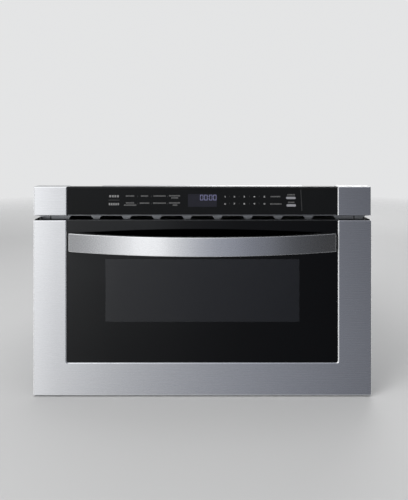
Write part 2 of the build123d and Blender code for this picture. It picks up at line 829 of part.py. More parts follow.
def drive_gear():
    """Cluster gear on the drive shaft: the large gear with the rack pinion moulded on it."""
    gap_up = 90.0 + 180.0 / pinion_teeth
    pinion = gear_face(rack_module, pinion_teeth, shaft_r, gap_up)
    gear = gear_face(gear_module, gear_teeth, shaft_r, 0.0)
    pinion_x = rack_x - pinion_w / 2
    hub = RegularPolygon(pinion_pitch_r - 2 * rack_module, 16, major_radius=False)
    hub -= RegularPolygon(shaft_r, 12, major_radius=False)
    return (
        gear_at(gear, gear_x, gear_w, pinion_y, shaft_z)
        + gear_at(hub, gear_x + gear_w, pinion_x - gear_x - gear_w, pinion_y, shaft_z)
        + gear_at(pinion, pinion_x, pinion_w, pinion_y, shaft_z)
    )


def motor_pinion():
    """Small gear on the end of the geared motor's shaft."""
    gap_at_gear = 180.0 + 180.0 / motor_teeth
    face = gear_face(gear_module, motor_teeth, 0, gap_at_gear)
    teeth = gear_at(face, gear_x, gear_w, motor_y, shaft_z)
    return teeth + rod_x(motor_shaft_r, (bracket_x[0] - 3 * bracket_t, gear_x), motor_y, shaft_z)


def drive_motor():
    """Geared motor with its flange on the drive bracket."""
    right = bracket_x[0] - bracket_t
    left = right - drive_motor_len
    gearbox = slab(
        (right - gearbox_len, right),
        around(motor_y, 2 * drive_motor_r),
        around(shaft_z, 2 * drive_motor_r),
    )
    gearbox = chamfer(gearbox.edges().filter_by(Axis.X), drive_motor_r / 3)
    can = Pos(0, motor_y, shaft_z) * facets_x(drive_can_r, 24, (left, right - gearbox_len))
    boss = Pos(0, motor_y, shaft_z) * facets_x(drive_can_r / 2, 8, (left - bracket_t, left))
    socket = rod_x(motor_shaft_r + run_gap, (right - 2.5 * bracket_t, right), motor_y, shaft_z)
    return gearbox + can + boss - socket


# ------------------------------------------------------------------ cavity
def cavity_shell():
    """Sides and ceiling of the cavity, folded from one sheet, with front flanges."""
    z0 = cav_floor_z - plate_t - flange
    y = (seat_y, bay_y)
    outer = slab((-cav_half - plate_t, cav_half + plate_t), y, (z0, cav_ceil_z + plate_t))
    shell = outer - slab((-cav_half, cav_half), y, (z0, cav_ceil_z))
    x = cav_half + plate_t
    side_flange = slab((x, x + flange), (seat_y, seat_y + plate_t), (z0, cav_ceil_z + plate_t))
    slot = slab(
        around(0, ceiling_slot_w),
        around(cav_mid_y + ceiling_slot_back, ceiling_slot_len),
        (cav_ceil_z, cav_ceil_z + plate_t),
    )
    first = -(ceiling_slots - 1) / 2
    slots = [Pos(ceiling_slot_pitch * (first + n), 0, 0) * slot for n in range(ceiling_slots)]
    return shell + side_flange + mirrored(side_flange) - slots


def cavity_floor():
    """Cavity floor with the drawn well of the stirrer and flanges welded to the sides."""
    low = cav_floor_z - plate_t
    plate = slab((-cav_half, cav_half), (seat_y, bay_y), (low, cav_floor_z))
    side = slab((cav_half - plate_t, cav_half), (seat_y, bay_y), (low - flange, low))
    dish = rod_z(well_r + plate_t, 0, cav_mid_y, (well_bottom_z - plate_t, cav_floor_z))
    room = rod_z(well_r, 0, cav_mid_y, (well_bottom_z, cav_floor_z))
    port = slab(around(0, port_w), around(cav_mid_y, port_w), (well_bottom_z - plate_t, well_bottom_z))
    return plate + side + mirrored(side) + dish - room - port


def cavity_rear():
    """Rear wall of the cavity, with the lamp's port of small holes."""
    wall = slab((-cav_half, cav_half), (cav_back_y, bay_y), (cav_floor_z, cav_ceil_z))
    hole = facets_y(lamp_hole_r, 6, (cav_back_y, bay_y))
    spots = GridLocations(lamp_hole_pitch, lamp_hole_pitch, 3, 3)
    return wall - [Pos(lamp_x + s.position.X, 0, lamp_z + s.position.Y) * hole for s in spots]


def stirrer_cover():
    """Mica disc over the stirrer's well."""
    return rod_z(well_r + well_cover_lap, 0, cav_mid_y, (cav_floor_z, cav_floor_z + well_cover_t))


def waveguide():
    """Rectangular waveguide from the magnetron to the stirrer's well."""
    outer = slab(around(0, guide_w), guide_y, (guide_z, guide_top_z))
    room = slab(
        around(0, guide_w - 2 * plate_t),
        (guide_y[0] + plate_t, guide_y[1] - plate_t),
        (guide_z + plate_t, guide_top_z - plate_t),
    )
    top = (guide_top_z - plate_t, guide_top_z)
    port = slab(around(0, port_w), around(cav_mid_y, port_w), top)
    launch = Pos(0, bay_mid_y, 0) * facets_z(antenna_r + bend_r, 12, top)
    shaft_hole = Pos(0, cav_mid_y, 0) * facets_z(shaft_r + bend_r, 8, (guide_z, guide_z + plate_t))
    return outer - room - port - launch - shaft_hole


def stirrer_motor():
    """Flat synchronous motor under the waveguide."""
    can = Pos(0, cav_mid_y, 0) * facets_z(stirrer_motor_r, 24, (guide_z - stirrer_motor_h, guide_z))
    return can - rod_z(shaft_r + run_gap, 0, cav_mid_y, (guide_z - stirrer_motor_h / 2, guide_z))


def stirrer():
    """Stirrer fan with its plastic shaft."""
    z = well_bottom_z + well_depth / 2
    hub = facets_z(stirrer_hub_r, 6, around(z, 0.6 * well_depth))
    shaft = rod_z(shaft_r, 0, 0, (guide_z - stirrer_motor_h / 2 + gear_clear, z))
    outline = Polyline(
        (0, -stirrer_hub_r / 2), (stirrer_r, -2 * stirrer_hub_r), (stirrer_r, 2 * stirrer_hub_r),
        (0, stirrer_hub_r / 2), close=True,
    )
    blade = extrude(make_face(outline), stirrer_t / 2, both=True)
    blade = Pos(0, 0, z) * Rot(stirrer_pitch, 0, 0) * blade
    blade &= rod_z(stirrer_r, 0, 0, (well_bottom_z, cav_floor_z))
    whole = hub + shaft
    for n in range(stirrer_blades):
        whole += Rot(0, 0, 360.0 / stirrer_blades * n) * blade
    return Pos(0, cav_mid_y, 0) * whole


# ------------------------------------------------------------------ machine bay
def magnetron():
    """Magnetron: anode and magnets between cooling fins, in an open steel yoke."""
    x, y = around(0, magnetron_w), around(bay_mid_y, magnetron_d)
    z0, z1 = guide_top_z, guide_top_z + magnetron_h
    yoke = slab(x, y, (z0, z1))
    yoke -= slab(
        x,
        (y[0] + magnetron_plate, y[1] - magnetron_plate),
        (z0 + magnetron_plate, z1 - magnetron_plate),
    )
    axis = Pos(0, bay_mid_y, 0)
    body = yoke + axis * facets_z(anode_r, 8, (z0, z1))
    for low in (z0 + magnetron_plate, z1 - magnetron_plate - magnet_h):
        body += axis * facets_z(magnet_r, 12, (low, low + magnet_h))
    fins_z = (z0 + magnetron_plate + magnet_h, z1 - magnetron_plate - magnet_h)
    pitch = (fins_z[1] - fins_z[0]) / fin_count
    for n in range(fin_count):
        middle = fins_z[0] + pitch * (n + 0.5)
        body += slab(around(0, magnetron_w - 2 * magnetron_plate), y, around(middle, fin_t))
    return body + axis * facets_z(antenna_r, 12, (z0 - antenna_h, z0))


def fan_housing():
    """Moulded fan plate with its ring, the motor's arms and the duct to the magnetron."""
    y, z = around(bay_mid_y, fan_plate_w), around(fan_z, fan_plate_w)
    ring_r = fan_ring_r + fan_ring_t
    plate = slab((fan_x - duct_t, fan_x), y, z)
    axis = Pos(0, bay_mid_y, fan_z)
    ring = axis * facets_x(ring_r, 32, (fan_ring_x, fan_x))
    throat = axis * facets_x(fan_ring_r, 32, (fan_ring_x, fan_x))
    seat = axis * facets_x(fan_motor_r, 12, (fan_ring_x, fan_ring_x + duct_t))
    seat -= axis * facets_x(fan_hub_r, 12, (fan_ring_x, fan_ring_x + duct_t))
    arm_z = (fan_hub_r + duct_t, fan_ring_r + duct_t / 2)
    arm = slab((fan_ring_x, fan_ring_x + duct_t), around(0, fan_arm_w), arm_z)
    arms = [axis * Rot(120.0 * n, 0, 0) * arm for n in range(3)]
    near = Plane.YZ.offset(fan_x) * Pos(bay_mid_y, fan_z)
    far = Plane.YZ.offset(-magnetron_w / 2) * Pos(bay_mid_y, fan_z)
    outer = loft([near * Rectangle(2 * ring_r, 2 * ring_r), far * Rectangle(magnetron_d, magnetron_h)])
    inner = loft(
        [
            near * Rectangle(2 * fan_ring_r, 2 * fan_ring_r),
            far * Rectangle(magnetron_d - 2 * duct_t, magnetron_h - 2 * duct_t),
        ]
    )
    return plate + ring - throat + (outer - inner) + seat + arms


def fan_blade():
    """Axial fan with pitched blades, on its shaft."""
    middle = (fan_ring_x + 2 * duct_t + fan_x) / 2
    depth = fan_x - fan_ring_x - 4 * duct_t
    hub = rod_x(fan_hub_r - gear_clear, around(middle, depth), 0, 0)
    shaft = rod_x(motor_shaft_r, (fan_ring_x - fan_motor_len / 2, middle), 0, 0)
    root = Rot(0, 0, blade_root_angle) * Rectangle(fan_hub_r * 1.5, blade_root_t)
    root = Plane.XY.offset(fan_hub_r / 2) * root
    tip = Rot(0, 0, blade_tip_angle) * Rectangle(fan_r * 0.68, blade_tip_t)
    tip = Plane.XY.offset(fan_r + blade_over) * tip
    disc = rod_x(fan_r, around(middle, depth), 0, 0)
    blade = Pos(middle, 0, 0) * loft([root, tip]) & disc
    whole = hub + shaft
    for n in range(fan_blades):
        whole += Rot(360.0 / fan_blades * n, 0, 0) * blade
    return Pos(0, bay_mid_y, fan_z) * whole


def fan_motor():
    """Shaded-pole fan motor, on the arms of the fan housing: iron stack, coil and bearing covers."""
    middle = fan_ring_x - fan_motor_len / 2
    stack = slab(
        around(middle, 0.5 * fan_motor_len),
        around(bay_mid_y, 2 * fan_motor_r),
        around(fan_z, 1.5 * fan_motor_r),
    )
    coil = slab(
        around(middle, 0.8 * fan_motor_len),
        (bay_mid_y - 0.5 * fan_motor_r, bay_mid_y + 0.5 * fan_motor_r),
        (fan_z - 1.4 * fan_motor_r, fan_z - 0.6 * fan_motor_r),
    )
    cover = Pos(0, bay_mid_y, fan_z) * facets_x(0.6 * fan_motor_r, 12, (fan_motor_x, fan_ring_x))
    tail = slab(
        (fan_motor_x, fan_ring_x),
        around(bay_mid_y, 1.8 * fan_motor_r),
        around(fan_z, 4 * duct_t),
    )
    bore_x = (fan_ring_x - fan_motor_len / 2 - gear_clear, fan_ring_x)
    return stack + coil + cover + tail - rod_x(motor_shaft_r + run_gap, bore_x, bay_mid_y, fan_z)


def hv_transformer():
    """High-voltage transformer: laminated core with two coils round its middle leg."""
    x, y = around(transformer_x, transformer_w), around(bay_mid_y, transformer_d)
    z = (plate_t, plate_t + transformer_h)
    window_x = transformer_w / 2 - 2 * core_leg
    core = slab(x, y, z)
    for side in (-1, 1):
        middle = transformer_x + side * (core_leg + window_x / 2)
        core -= slab(around(middle, window_x), y, (z[0] + core_leg, z[1] - core_leg))
    window_z = transformer_h - 2 * core_leg
    coils = []
    for side in (-1, 1):
        coils.append(
            slab(
                around(transformer_x, 2 * core_leg + 2 * window_x),
                around(bay_mid_y, transformer_d + 2 * coil_over),
                around((z[0] + z[1]) / 2 + side * window_z / 4, window_z / 2 - coil_gap),
            )
        )
    return core + [chamfer(coil.edges().filter_by(Axis.Z), coil_over) for coil in coils]


def hv_capacitor():
    """Oval high-voltage capacitor, standing on the base, with its two terminals."""
    z1 = plate_t + capacitor_h
    can = extrude(
        Pos(capacitor_x, bay_mid_y, plate_t) * SlotOverall(capacitor_w, capacitor_d), capacitor_h
    )
    for side in (-1, 1):
        x = capacitor_x + side * capacitor_w / 5
        can += slab(around(x, terminal_w), around(bay_mid_y, screen_t), (z1, z1 + terminal_h))
    return can


def oven_lamp():
    """Lamp can on the rear wall of the cavity, with its socket."""
    y1 = bay_y + lamp_len
    can = facets_y(lamp_r, 16, (bay_y, y1))
    can -= facets_y(lamp_r - sheet_t, 16, (bay_y, y1 - sheet_t))
    socket = facets_y(lamp_r / 2, 12, (y1 - lamp_len / 3, y1 + lamp_len / 4))
    bulb = facets_y(lamp_r / 3, 12, (bay_y + lamp_len / 4, y1))
    return Pos(lamp_x, 0, lamp_z) * (can + socket + bulb)


def power_board():
    """Mains filter and relay board on standoffs behind the cavity."""
    y = (bay_y + standoff, bay_y + standoff + board_t)
    x, z = around(power_board_x, power_board_w), around(power_board_z, power_board_h)
    board = slab(x, y, z)
    for px in (x[0] + post_w, x[1] - post_w):
        for pz in (z[0] + post_w, z[1] - post_w):
            board += slab(around(px, post_w), (bay_y, y[0]), around(pz, post_w))
    low = (x[0] + part_margin, z[0] + part_margin)
    relay = slab(
        (low[0], low[0] + relay_size[0]),
        (y[1], y[1] + relay_size[1]),
        (low[1], low[1] + relay_size[2]),
    )
    coil = facets_y(choke_coil_r, 12, (y[1], y[1] + choke_coil_h))
    coil = Pos(x[1] - part_margin - choke_coil_r, 0, low[1] + choke_coil_r) * coil
    fuse = slab(
        around(power_board_x, fuse_size[0]),
        (y[1], y[1] + fuse_size[1]),
        (z[1] - part_margin - fuse_size[2], z[1] - part_margin),
    )
    return board + relay + Pos(0, 0, relay_pitch) * relay + coil + fuse


def interlock_switches():
    """Switch holders behind the front plate, each with two switches under a latch hook."""
    web_x = latch_x - 3 * latch_t
    top = latch_z - slide_run
    z = (latch_z - holder_low, latch_z + holder_over)
    web = slab((web_x, web_x + bracket_t), (seat_y, seat_y + holder_depth), z)
    foot = slab((cav_half + plate_t + flange, web_x), (seat_y, seat_y + bracket_t), z)
    holder = web + foot
    for n in range(2):
        z0 = top - switch_drop - switch_pitch * (n + 1)
        holder += slab(
            (web_x, web_x + switch_size[0]),
            (seat_y + switch_back, seat_y + switch_back + switch_size[1]),
            (z0, z0 + switch_size[2]),
        )
    holder += slab(
        around(web_x + switch_size[0] / 2, plunger_w),
        around(seat_y + plunger_y, plunger_len),
        (top - switch_drop - switch_pitch / 4, top),
    )
    return both_sides(holder)


# ------------------------------------------------------------------ case
def screw_bores():
    """Bores of the case screws in the side panels and the flanges behind them."""
    bore = facets_x(screw_r + run_gap, 8, (case_in - 3 * plate_t, case_half))
    return [Pos(0, y, z) * bore for y in screw_y for z in screw_z]


def case_screws():
    """Hexagon-head screws that hold the side panels on the base and the top cover."""
    shank = facets_x(screw_r, 8, (case_half - screw_len, case_half))
    head = facets_x(screw_head_r, 6, (case_half, case_half + screw_head_h))
    screw = shank + head
    screws = [Pos(0, y, z) * screw for y in screw_y for z in screw_z]
    return group(*screws, *[mirrored(s) for s in screws])


def base_plate():
    """Base sheet with upturned flanges."""
    plate = slab((-case_half, case_half), (seat_y, back_y), (0, plate_t))
    up = (plate_t, plate_t + flange)
    side = slab((case_in - plate_t, case_in), (seat_y, rear_in_y), up)
    side -= screw_bores()
    front = slab((-case_in + plate_t, case_in - plate_t), (seat_y, seat_y + plate_t), up)
    rear = slab((-case_in + plate_t, case_in - plate_t), (rear_in_y - plate_t, rear_in_y), up)
    return plate + side + mirrored(side) + front + rear


def top_cover():
    """Top sheet with flanges folded down at the sides and up behind the front plate."""
    sheet = slab((-case_half, case_half), (seat_y, back_y), (case_top_in, case_h))
    middle = Plane(origin=(0, (seat_y + back_y) / 2, case_h))
    sheet = pressed(sheet, middle, case_w - 2 * top_bead_margin, body_depth - 2 * top_bead_margin)
    down = (case_top_in - flange, case_top_in)
    side = slab((case_in - plate_t, case_in), (seat_y, rear_in_y), down)
    side -= screw_bores()
    rear = slab((-case_in + plate_t, case_in - plate_t), (rear_in_y - plate_t, rear_in_y), down)
    front = slab((-case_half, case_half), (seat_y, seat_y + plate_t), (case_h, case_h + flange))
    return sheet + side + mirrored(side) + rear + front


def side_panel(vent_rows):
    """Right-hand side panel, with pressed beads and rows of air slots beside the machine bay."""
    panel = slab((case_in, case_half), (seat_y, back_y), (plate_t, case_top_in))
    length = bay_y - seat_y - 2 * bead_margin
    for rise in side_bead_rise:
        spot = Plane(
            origin=(case_half, (seat_y + bay_y) / 2, slide_z + rise), x_dir=(0, 1, 0), z_dir=(1, 0, 0)
        )
        panel = pressed(panel, spot, length, bead_w)
    panel -= screw_bores()
    slot = slab((case_in, case_half), around(bay_mid_y, vent_slot_w), around(0, vent_slot_h))
    first = fan_z - vent_slot_pitch * (vent_rows - 1) / 2
    return panel - [Pos(0, 0, first + vent_slot_pitch * n) * slot for n in range(vent_rows)]


def rear_panel():
    """Rear panel with air slots and the hole of the cord's grommet."""
    panel = slab((-case_in, case_in), (rear_in_y, back_y), (plate_t, case_top_in))
    panel -= Pos(cord_hole_x, 0, cord_hole_z) * facets_y(cord_hole_r, 12, (rear_in_y, back_y))
    slot = slab(around(transformer_x, vent_slot_w), (rear_in_y, back_y), around(0, vent_slot_h))
    first = transformer_h + vent_slot_pitch
    return panel - [Pos(0, 0, first + vent_slot_pitch * n) * slot for n in range(vent_rows)]


def cord_grommet():
    """Grommet in the hole where the mains cord enters."""
    ring = facets_y(cord_hole_r, 12, (rear_in_y, back_y))
    lip = facets_y(cord_hole_r + grommet_lip, 12, (rear_in_y - grommet_lip, rear_in_y))
    bore = facets_y(cord_hole_r - grommet_lip, 12, (rear_in_y - grommet_lip, back_y))
    return Pos(cord_hole_x, 0, cord_hole_z) * (ring + lip - bore)


def front_plate():
    """Front plate of the case, which is screwed to the cabinet's face."""
    y = (plate_y, seat_y)
    plate = slab((-plate_half, plate_half), y, (plate_bottom_z, plate_top_z))
    mouth = slab((-cav_half, cav_half), y, (cav_floor_z, cav_ceil_z))
    rack_hole = slab(
        around(rack_x, rack_w + 2 * plate_hole_gap),
        y,
        (rack_tip_z - plate_hole_gap, rack_top_z + plate_hole_gap),
    )
    slot_z = (fascia_z0 - slot_drop - slot_h, fascia_z0 - slot_drop)
    vent = slab(around(0, vent_hole_w), y, slot_z)
    plate = plate - mouth - rack_hole - vent
    slide_hole = slab(
        (slide_in_x - 2 * bracket_t, case_in - sheet_t), y, around(slide_z, slide_h - 2 * outer_race)
    )
    latch_hole = slab(
        around(latch_x, latch_t + 2 * plate_hole_gap),
        y,
        (latch_z - plate_hole_gap, latch_z + latch_h + plate_hole_gap),
    )
    screw_holes = [rod_y(mount_hole_r, mount_hole_x, y, z) for z in mount_hole_z]
    for hole in (slide_hole, latch_hole, *screw_holes):
        plate = plate - hole - mirrored(hole)
    return plate


def exhaust_duct():
    """Inverted channel on the cavity that leads the cooling air to the grille."""
    z = (cav_ceil_z + plate_t, fascia_z0)
    half = vent_hole_w / 2
    y = (seat_y, bay_y)
    duct = slab((-half - sheet_t, half + sheet_t), y, z)
    duct -= slab((-half, half), y, (z[0], z[1] - sheet_t))
    return duct


def vent_grille():
    """Steel grille in the gap over the drawer, with a row of tapered slots and a slit at each end."""
    top = fascia_z0 - grille_drop
    x = (grille_side - plate_half, plate_half - grille_side)
    lip_y = plate_y - sheet_t - grille_lip
    face = slab(x, (plate_y - sheet_t, plate_y), (top - grille_h, top))
    lip = slab(x, (lip_y, plate_y), (top - sheet_t, top))
    hem = slab(x, (lip_y, lip_y + sheet_t), (top - grille_hem, top))
    slot_top, slot_bottom = fascia_z0 - slot_drop, fascia_z0 - slot_drop - slot_h
    top_half = (slot_pitch - slot_land_top) / 2
    bottom_half = (slot_pitch - slot_land_bottom) / 2
    outline = make_face(
        Polyline(
            (-top_half, slot_top), (top_half, slot_top),
            (bottom_half, slot_bottom), (-bottom_half, slot_bottom), close=True,
        )
    )
    slot = extrude(Plane.XZ.offset(-plate_y) * outline, 2 * sheet_t, both=True)
    first = -(slot_count - 1) / 2
    slots = [Pos(slot_pitch * (first + n), 0, 0) * slot for n in range(slot_count)]
    slit = slab((case_half, case_half + slit_w), (lip_y, plate_y), (top - slit_h, top))
    return face + lip + hem - slots - slit - mirrored(slit)


# ------------------------------------------------------------------ control fascia
def fascia_end_caps():
    """Folded steel ends of the fascia, with their inner edges turned back beside the glass."""
    x, y = (glass_half_w, half_w), (fascia_y, plate_y)
    z = (fascia_z0, fascia_z1)
    block = slab(x, y, z)
    block = fillet(block.edges().group_by(Axis.Y)[0], bend_r)
    room = slab((x[0], x[1] - steel_t), (y[0] + steel_t, y[1]), (z[0] + steel_t, z[1] - steel_t))
    room -= slab((x[0], x[0] + steel_t), (y[0], fascia_back_y), z)
    return both_sides(block - room)


def control_glass():
    """Black glass of the touch controls."""
    x = glass_half_w - glass_fit
    z = (fascia_z0 + fascia_glass_rise, fascia_z1 - fascia_lip_h)
    return slab((-x, x), (fascia_glass_y, fascia_back_y), z)


def control_housing():
    """Moulded tray behind the control glass, open at the back, with a lip over the glass."""
    x = half_w - steel_t - housing_fit
    y = (fascia_back_y, plate_y)
    z = (fascia_z0 + steel_t + housing_fit, fascia_z1 - steel_t - housing_fit)
    tray = slab((-x, x), y, z)
    tray -= slab(
        (-x + housing_wall, x - housing_wall),
        (y[0] + housing_wall, y[1]),
        (z[0] + housing_wall, z[1] - housing_wall),
    )
    lip_x = glass_half_w - glass_fit
    lip_y = (fascia_y + fascia_lip_back, y[0] + housing_wall)
    lip_z = (fascia_z1 - fascia_lip_h + housing_fit / 2, fascia_z1 - glass_fit)
    tray += slab((-lip_x, lip_x), lip_y, lip_z)
    window_y = (y[0], y[0] + housing_wall)
    return tray - slab(around(display_x, display_w), window_y, around(display_z, display_h))


def display_module():
    """Display behind the glass, in the window of the tray."""
    y = (fascia_back_y, fascia_back_y + housing_wall, fascia_back_y + display_t)
    front = slab(
        around(display_x, display_w - 2 * glass_fit),
        y[:2],
        around(display_z, display_h - 2 * glass_fit),
    )
    back = slab(
        around(display_x, display_w + 2 * display_rim),
        y[1:],
        around(display_z, display_h + 2 * display_rim),
    )
    return front + back


def control_board():
    """Control and touch board, on posts of the tray."""
    y = (fascia_back_y + display_t, fascia_back_y + display_t + board_t)
    x = around(0, control_board_w)
    board = slab(x, y, around(display_z, control_board_h))
    post_y = (fascia_back_y + housing_wall, y[0])
    for px in (x[0] + post_w, x[1] - post_w):
        board += slab(around(px, post_w), post_y, around(display_z, post_w))
    chip = slab(around(chip_x, chip_w), (y[1], y[1] + chip_t), around(display_z, chip_w))
    plug_y = (y[1], y[1] + plug_size[1])
    plug = slab(around(plug_x, plug_size[0]), plug_y, around(display_z, plug_size[2]))
    return board + chip + plug


# ------------------------------------------------------------------ all sub-parts
def sub_parts():
    """Every sub-part by its name."""
    slide_names = {"outer": "slide_outer", "middle": "slide_middle", "inner": "slide_inner"}
    parts = {}
    for piece, node in slide_names.items():
        member = slide_piece(piece)
        parts[node + "_right"] = member
        parts[node + "_left"] = mirrored(member)
    parts["ball_cages_outer"] = both_sides(slide_piece("outer_cage"))
    parts["ball_cages_inner"] = both_sides(slide_piece("inner_cage"))
    parts["side_panel_right"] = side_panel(vent_rows // 2)
    parts["side_panel_left"] = mirrored(side_panel(vent_rows))
    makers = (
        front_panel, door_glass, door_frame, door_pan, window_screen, inner_window, choke_cover,
        handle, handle_screws, food_tub, ceramic_floor, drawer_arms, latch_hooks, drawer_rack,
        rack_guide, drive_bracket, drive_bushes, drive_shaft, drive_gear, motor_pinion, drive_motor,
        cavity_shell, cavity_floor, cavity_rear, stirrer_cover, waveguide, stirrer_motor, stirrer,
        magnetron, fan_housing, fan_blade, fan_motor, hv_transformer, hv_capacitor, oven_lamp,
        power_board, interlock_switches, case_screws, base_plate, top_cover, rear_panel,
        cord_grommet, front_plate, exhaust_duct, vent_grille, fascia_end_caps, control_glass,
        control_housing, display_module, control_board,
    )
    for maker in makers:
        parts[maker.__name__] = maker()
    return parts


os.makedirs("parts", exist_ok=True)
for name, shape in sub_parts().items():
    export_step(shape, os.path.join("parts", name + ".step"))
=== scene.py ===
import math

import bmesh
import bpy
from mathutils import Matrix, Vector


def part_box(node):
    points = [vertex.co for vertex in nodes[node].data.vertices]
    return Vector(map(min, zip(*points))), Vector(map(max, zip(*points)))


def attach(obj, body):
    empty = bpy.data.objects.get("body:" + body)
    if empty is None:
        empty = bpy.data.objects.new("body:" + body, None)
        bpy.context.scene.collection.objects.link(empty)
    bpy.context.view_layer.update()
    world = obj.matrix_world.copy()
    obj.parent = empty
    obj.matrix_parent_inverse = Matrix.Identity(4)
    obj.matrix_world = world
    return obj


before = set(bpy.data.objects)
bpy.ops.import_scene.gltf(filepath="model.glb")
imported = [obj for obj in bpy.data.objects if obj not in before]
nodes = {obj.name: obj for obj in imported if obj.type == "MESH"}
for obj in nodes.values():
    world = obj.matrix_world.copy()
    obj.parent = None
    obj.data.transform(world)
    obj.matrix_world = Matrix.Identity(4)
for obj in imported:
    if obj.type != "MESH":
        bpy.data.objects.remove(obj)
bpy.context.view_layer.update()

# The looks of the built-in microwave drawer, in metres, in the CAD model's frame: first the camera,
# then the finishes, the print on the controls, two small clips, and last the floor and the light.

# ------------------------------------------------------------------ camera
EYE = (0.0, -1.262, 0.4595)
SENSOR = 36.0                # mm, along the picture's long side
LENS = 40.21                 # mm
SHIFT = (0.0033, -0.2191)    # in shares of the picture's long side
PICTURE = (408, 500)         # pixels
UPRIGHT = (math.pi / 2, 0, 0)    # turns what lies flat to stand and face the front

scene = bpy.context.scene
camera = bpy.data.objects.new("camera", bpy.data.cameras.new("camera"))
camera.location = EYE
camera.rotation_euler = UPRIGHT
camera.data.sensor_width = SENSOR
camera.data.lens = LENS
camera.data.shift_x, camera.data.shift_y = SHIFT
camera.data.clip_start = 0.02
camera.data.clip_end = 60.0
scene.collection.objects.link(camera)
scene.camera = camera
scene.view_settings.view_transform = "Standard"


# ------------------------------------------------------------------ node helpers
class Paint:
    """A material that is built up from nodes in object space."""

    def __init__(self, name, metallic=0.0, rough=0.5, **fixed):
        self.mat = bpy.data.materials.new(name)
        self.mat.use_nodes = True
        self.tree = self.mat.node_tree
        self.bsdf = self.tree.nodes["Principled BSDF"]
        self.bsdf.inputs["Metallic"].default_value = metallic
        self.bsdf.inputs["Roughness"].default_value = rough
        for socket, value in fixed.items():
            self.bsdf.inputs[socket.replace("_", " ")].default_value = value
        self.place = self.node("ShaderNodeTexCoord").outputs["Object"]

    def node(self, kind, **settings):
        made = self.tree.nodes.new(kind)
        for key, value in settings.items():
            setattr(made, key, value)
        return made

    def feed(self, socket, value):
        """Links a node's output to a socket, or sets the socket to a plain value."""
        if isinstance(value, bpy.types.NodeSocket):
            self.tree.links.new(value, socket)
        else:
            socket.default_value = value

    def stretched(self, scale):
        mapping = self.node("ShaderNodeMapping")
        self.feed(mapping.inputs["Vector"], self.place)
        mapping.inputs["Scale"].default_value = scale
        return mapping.outputs["Vector"]

    def noise(self, scale, detail=2.0, distortion=0.0):
        """Noise from 0 to 1, with so many grains a metre along each axis."""
        made = self.node("ShaderNodeTexNoise")
        self.feed(made.inputs["Vector"], self.stretched(scale))
        made.inputs["Scale"].default_value = 1.0
        made.inputs["Detail"].default_value = detail
        made.inputs["Distortion"].default_value = distortion
        return made.outputs["Fac"]

    def cells(self, scale, output="Color"):
        made = self.node("ShaderNodeTexVoronoi")
        self.feed(made.inputs["Vector"], self.stretched(scale))
        made.inputs["Scale"].default_value = 1.0
        return made.outputs[output]

    def waves(self, scale, axis):
        made = self.node("ShaderNodeTexWave", bands_direction=axis)
        self.feed(made.inputs["Vector"], self.place)
        made.inputs["Scale"].default_value = scale
        return made.outputs["Fac"]

    def along(self, axis):
        split = self.node("ShaderNodeSeparateXYZ")
        self.feed(split.inputs["Vector"], self.place)
        return split.outputs[axis]

    def facing(self, axis):
        """How the surface faces along an axis, from -1 to 1."""
        split = self.node("ShaderNodeSeparateXYZ")
        self.feed(split.inputs["Vector"], self.node("ShaderNodeTexCoord").outputs["Normal"])
        return split.outputs[axis]

    def maths(self, operation, a, b=0.0, c=0.0):
        made = self.node("ShaderNodeMath", operation=operation)
        for socket, value in zip(made.inputs, (a, b, c)):
            self.feed(socket, value)
        return made.outputs[0]

    def times(self, a, b):
        return self.maths("MULTIPLY", a, b)

    def span(self, value, low, high, to_low=0.0, to_high=1.0):
        """Maps low..high to to_low..to_high, and keeps within them."""
        made = self.node("ShaderNodeMapRange")
        for socket, number in zip(made.inputs, (value, low, high, to_low, to_high)):
            self.feed(socket, number)
        return made.outputs[0]

    def fall(self, value, low, high):
        """1 up to low, and down to 0 at high."""
        return self.span(value, low, high, 1.0, 0.0)

    def mix(self, share, a, b):
        made = self.node("ShaderNodeMix", data_type="RGBA")
        colours = [s for s in made.inputs if s.type == "RGBA"]
        self.feed(made.inputs["Factor"], share)
        self.feed(colours[0], a)
        self.feed(colours[1], b)
        return [s for s in made.outputs if s.type == "RGBA"][0]

    def colour(self, value):
        self.feed(self.bsdf.inputs["Base Color"], value)
        return self

    def roughness(self, value):
        self.feed(self.bsdf.inputs["Roughness"], value)
        return self

    def bump(self, height, depth, strength=1.0):
        made = self.node("ShaderNodeBump")
        made.inputs["Strength"].default_value = strength
        made.inputs["Distance"].default_value = depth
        self.feed(made.inputs["Height"], height)
        self.feed(self.bsdf.inputs["Normal"], made.outputs["Normal"])
        return self

    def inside(self, axis, middle, half, edge=0.0002):
        """1 where a point is within half of middle along an axis, 0 outside."""
        off = self.maths("ABSOLUTE", self.maths("SUBTRACT", self.along(axis), middle))
        return self.fall(off, half - edge, half + edge)

    def boxed(self, low, high):
        """1 inside a box, 0 outside."""
        share = 1.0
        for axis in range(3):
            middle = (low[axis] + high[axis]) / 2
            half = (high[axis] - low[axis]) / 2
            share = self.times(self.inside(axis, middle, half), share)
        return share


FAR = 1.0                    # past the end of every piece


def grey(level, warm=0.0):
    """A nearly neutral colour. warm above 0 adds red, below 0 adds blue."""
    return (level * (1 + warm), level, level * (1 - warm), 1.0)


def shaded(colour, share):
    """The colour at a share of its brightness."""
    return (*[min(1.0, c * share) for c in colour[:3]], 1.0)


# ------------------------------------------------------------------ finishes
ALL_ALONG = (-2 * FAR, -FAR)     # a rise that is full wherever there is steel
TO_THE_END = (FAR, 2 * FAR)      # a fall that starts past all steel, or past every slope
BAND_GAIN = 3.0              # a band's colour is this much further off, and laid on that much thinner


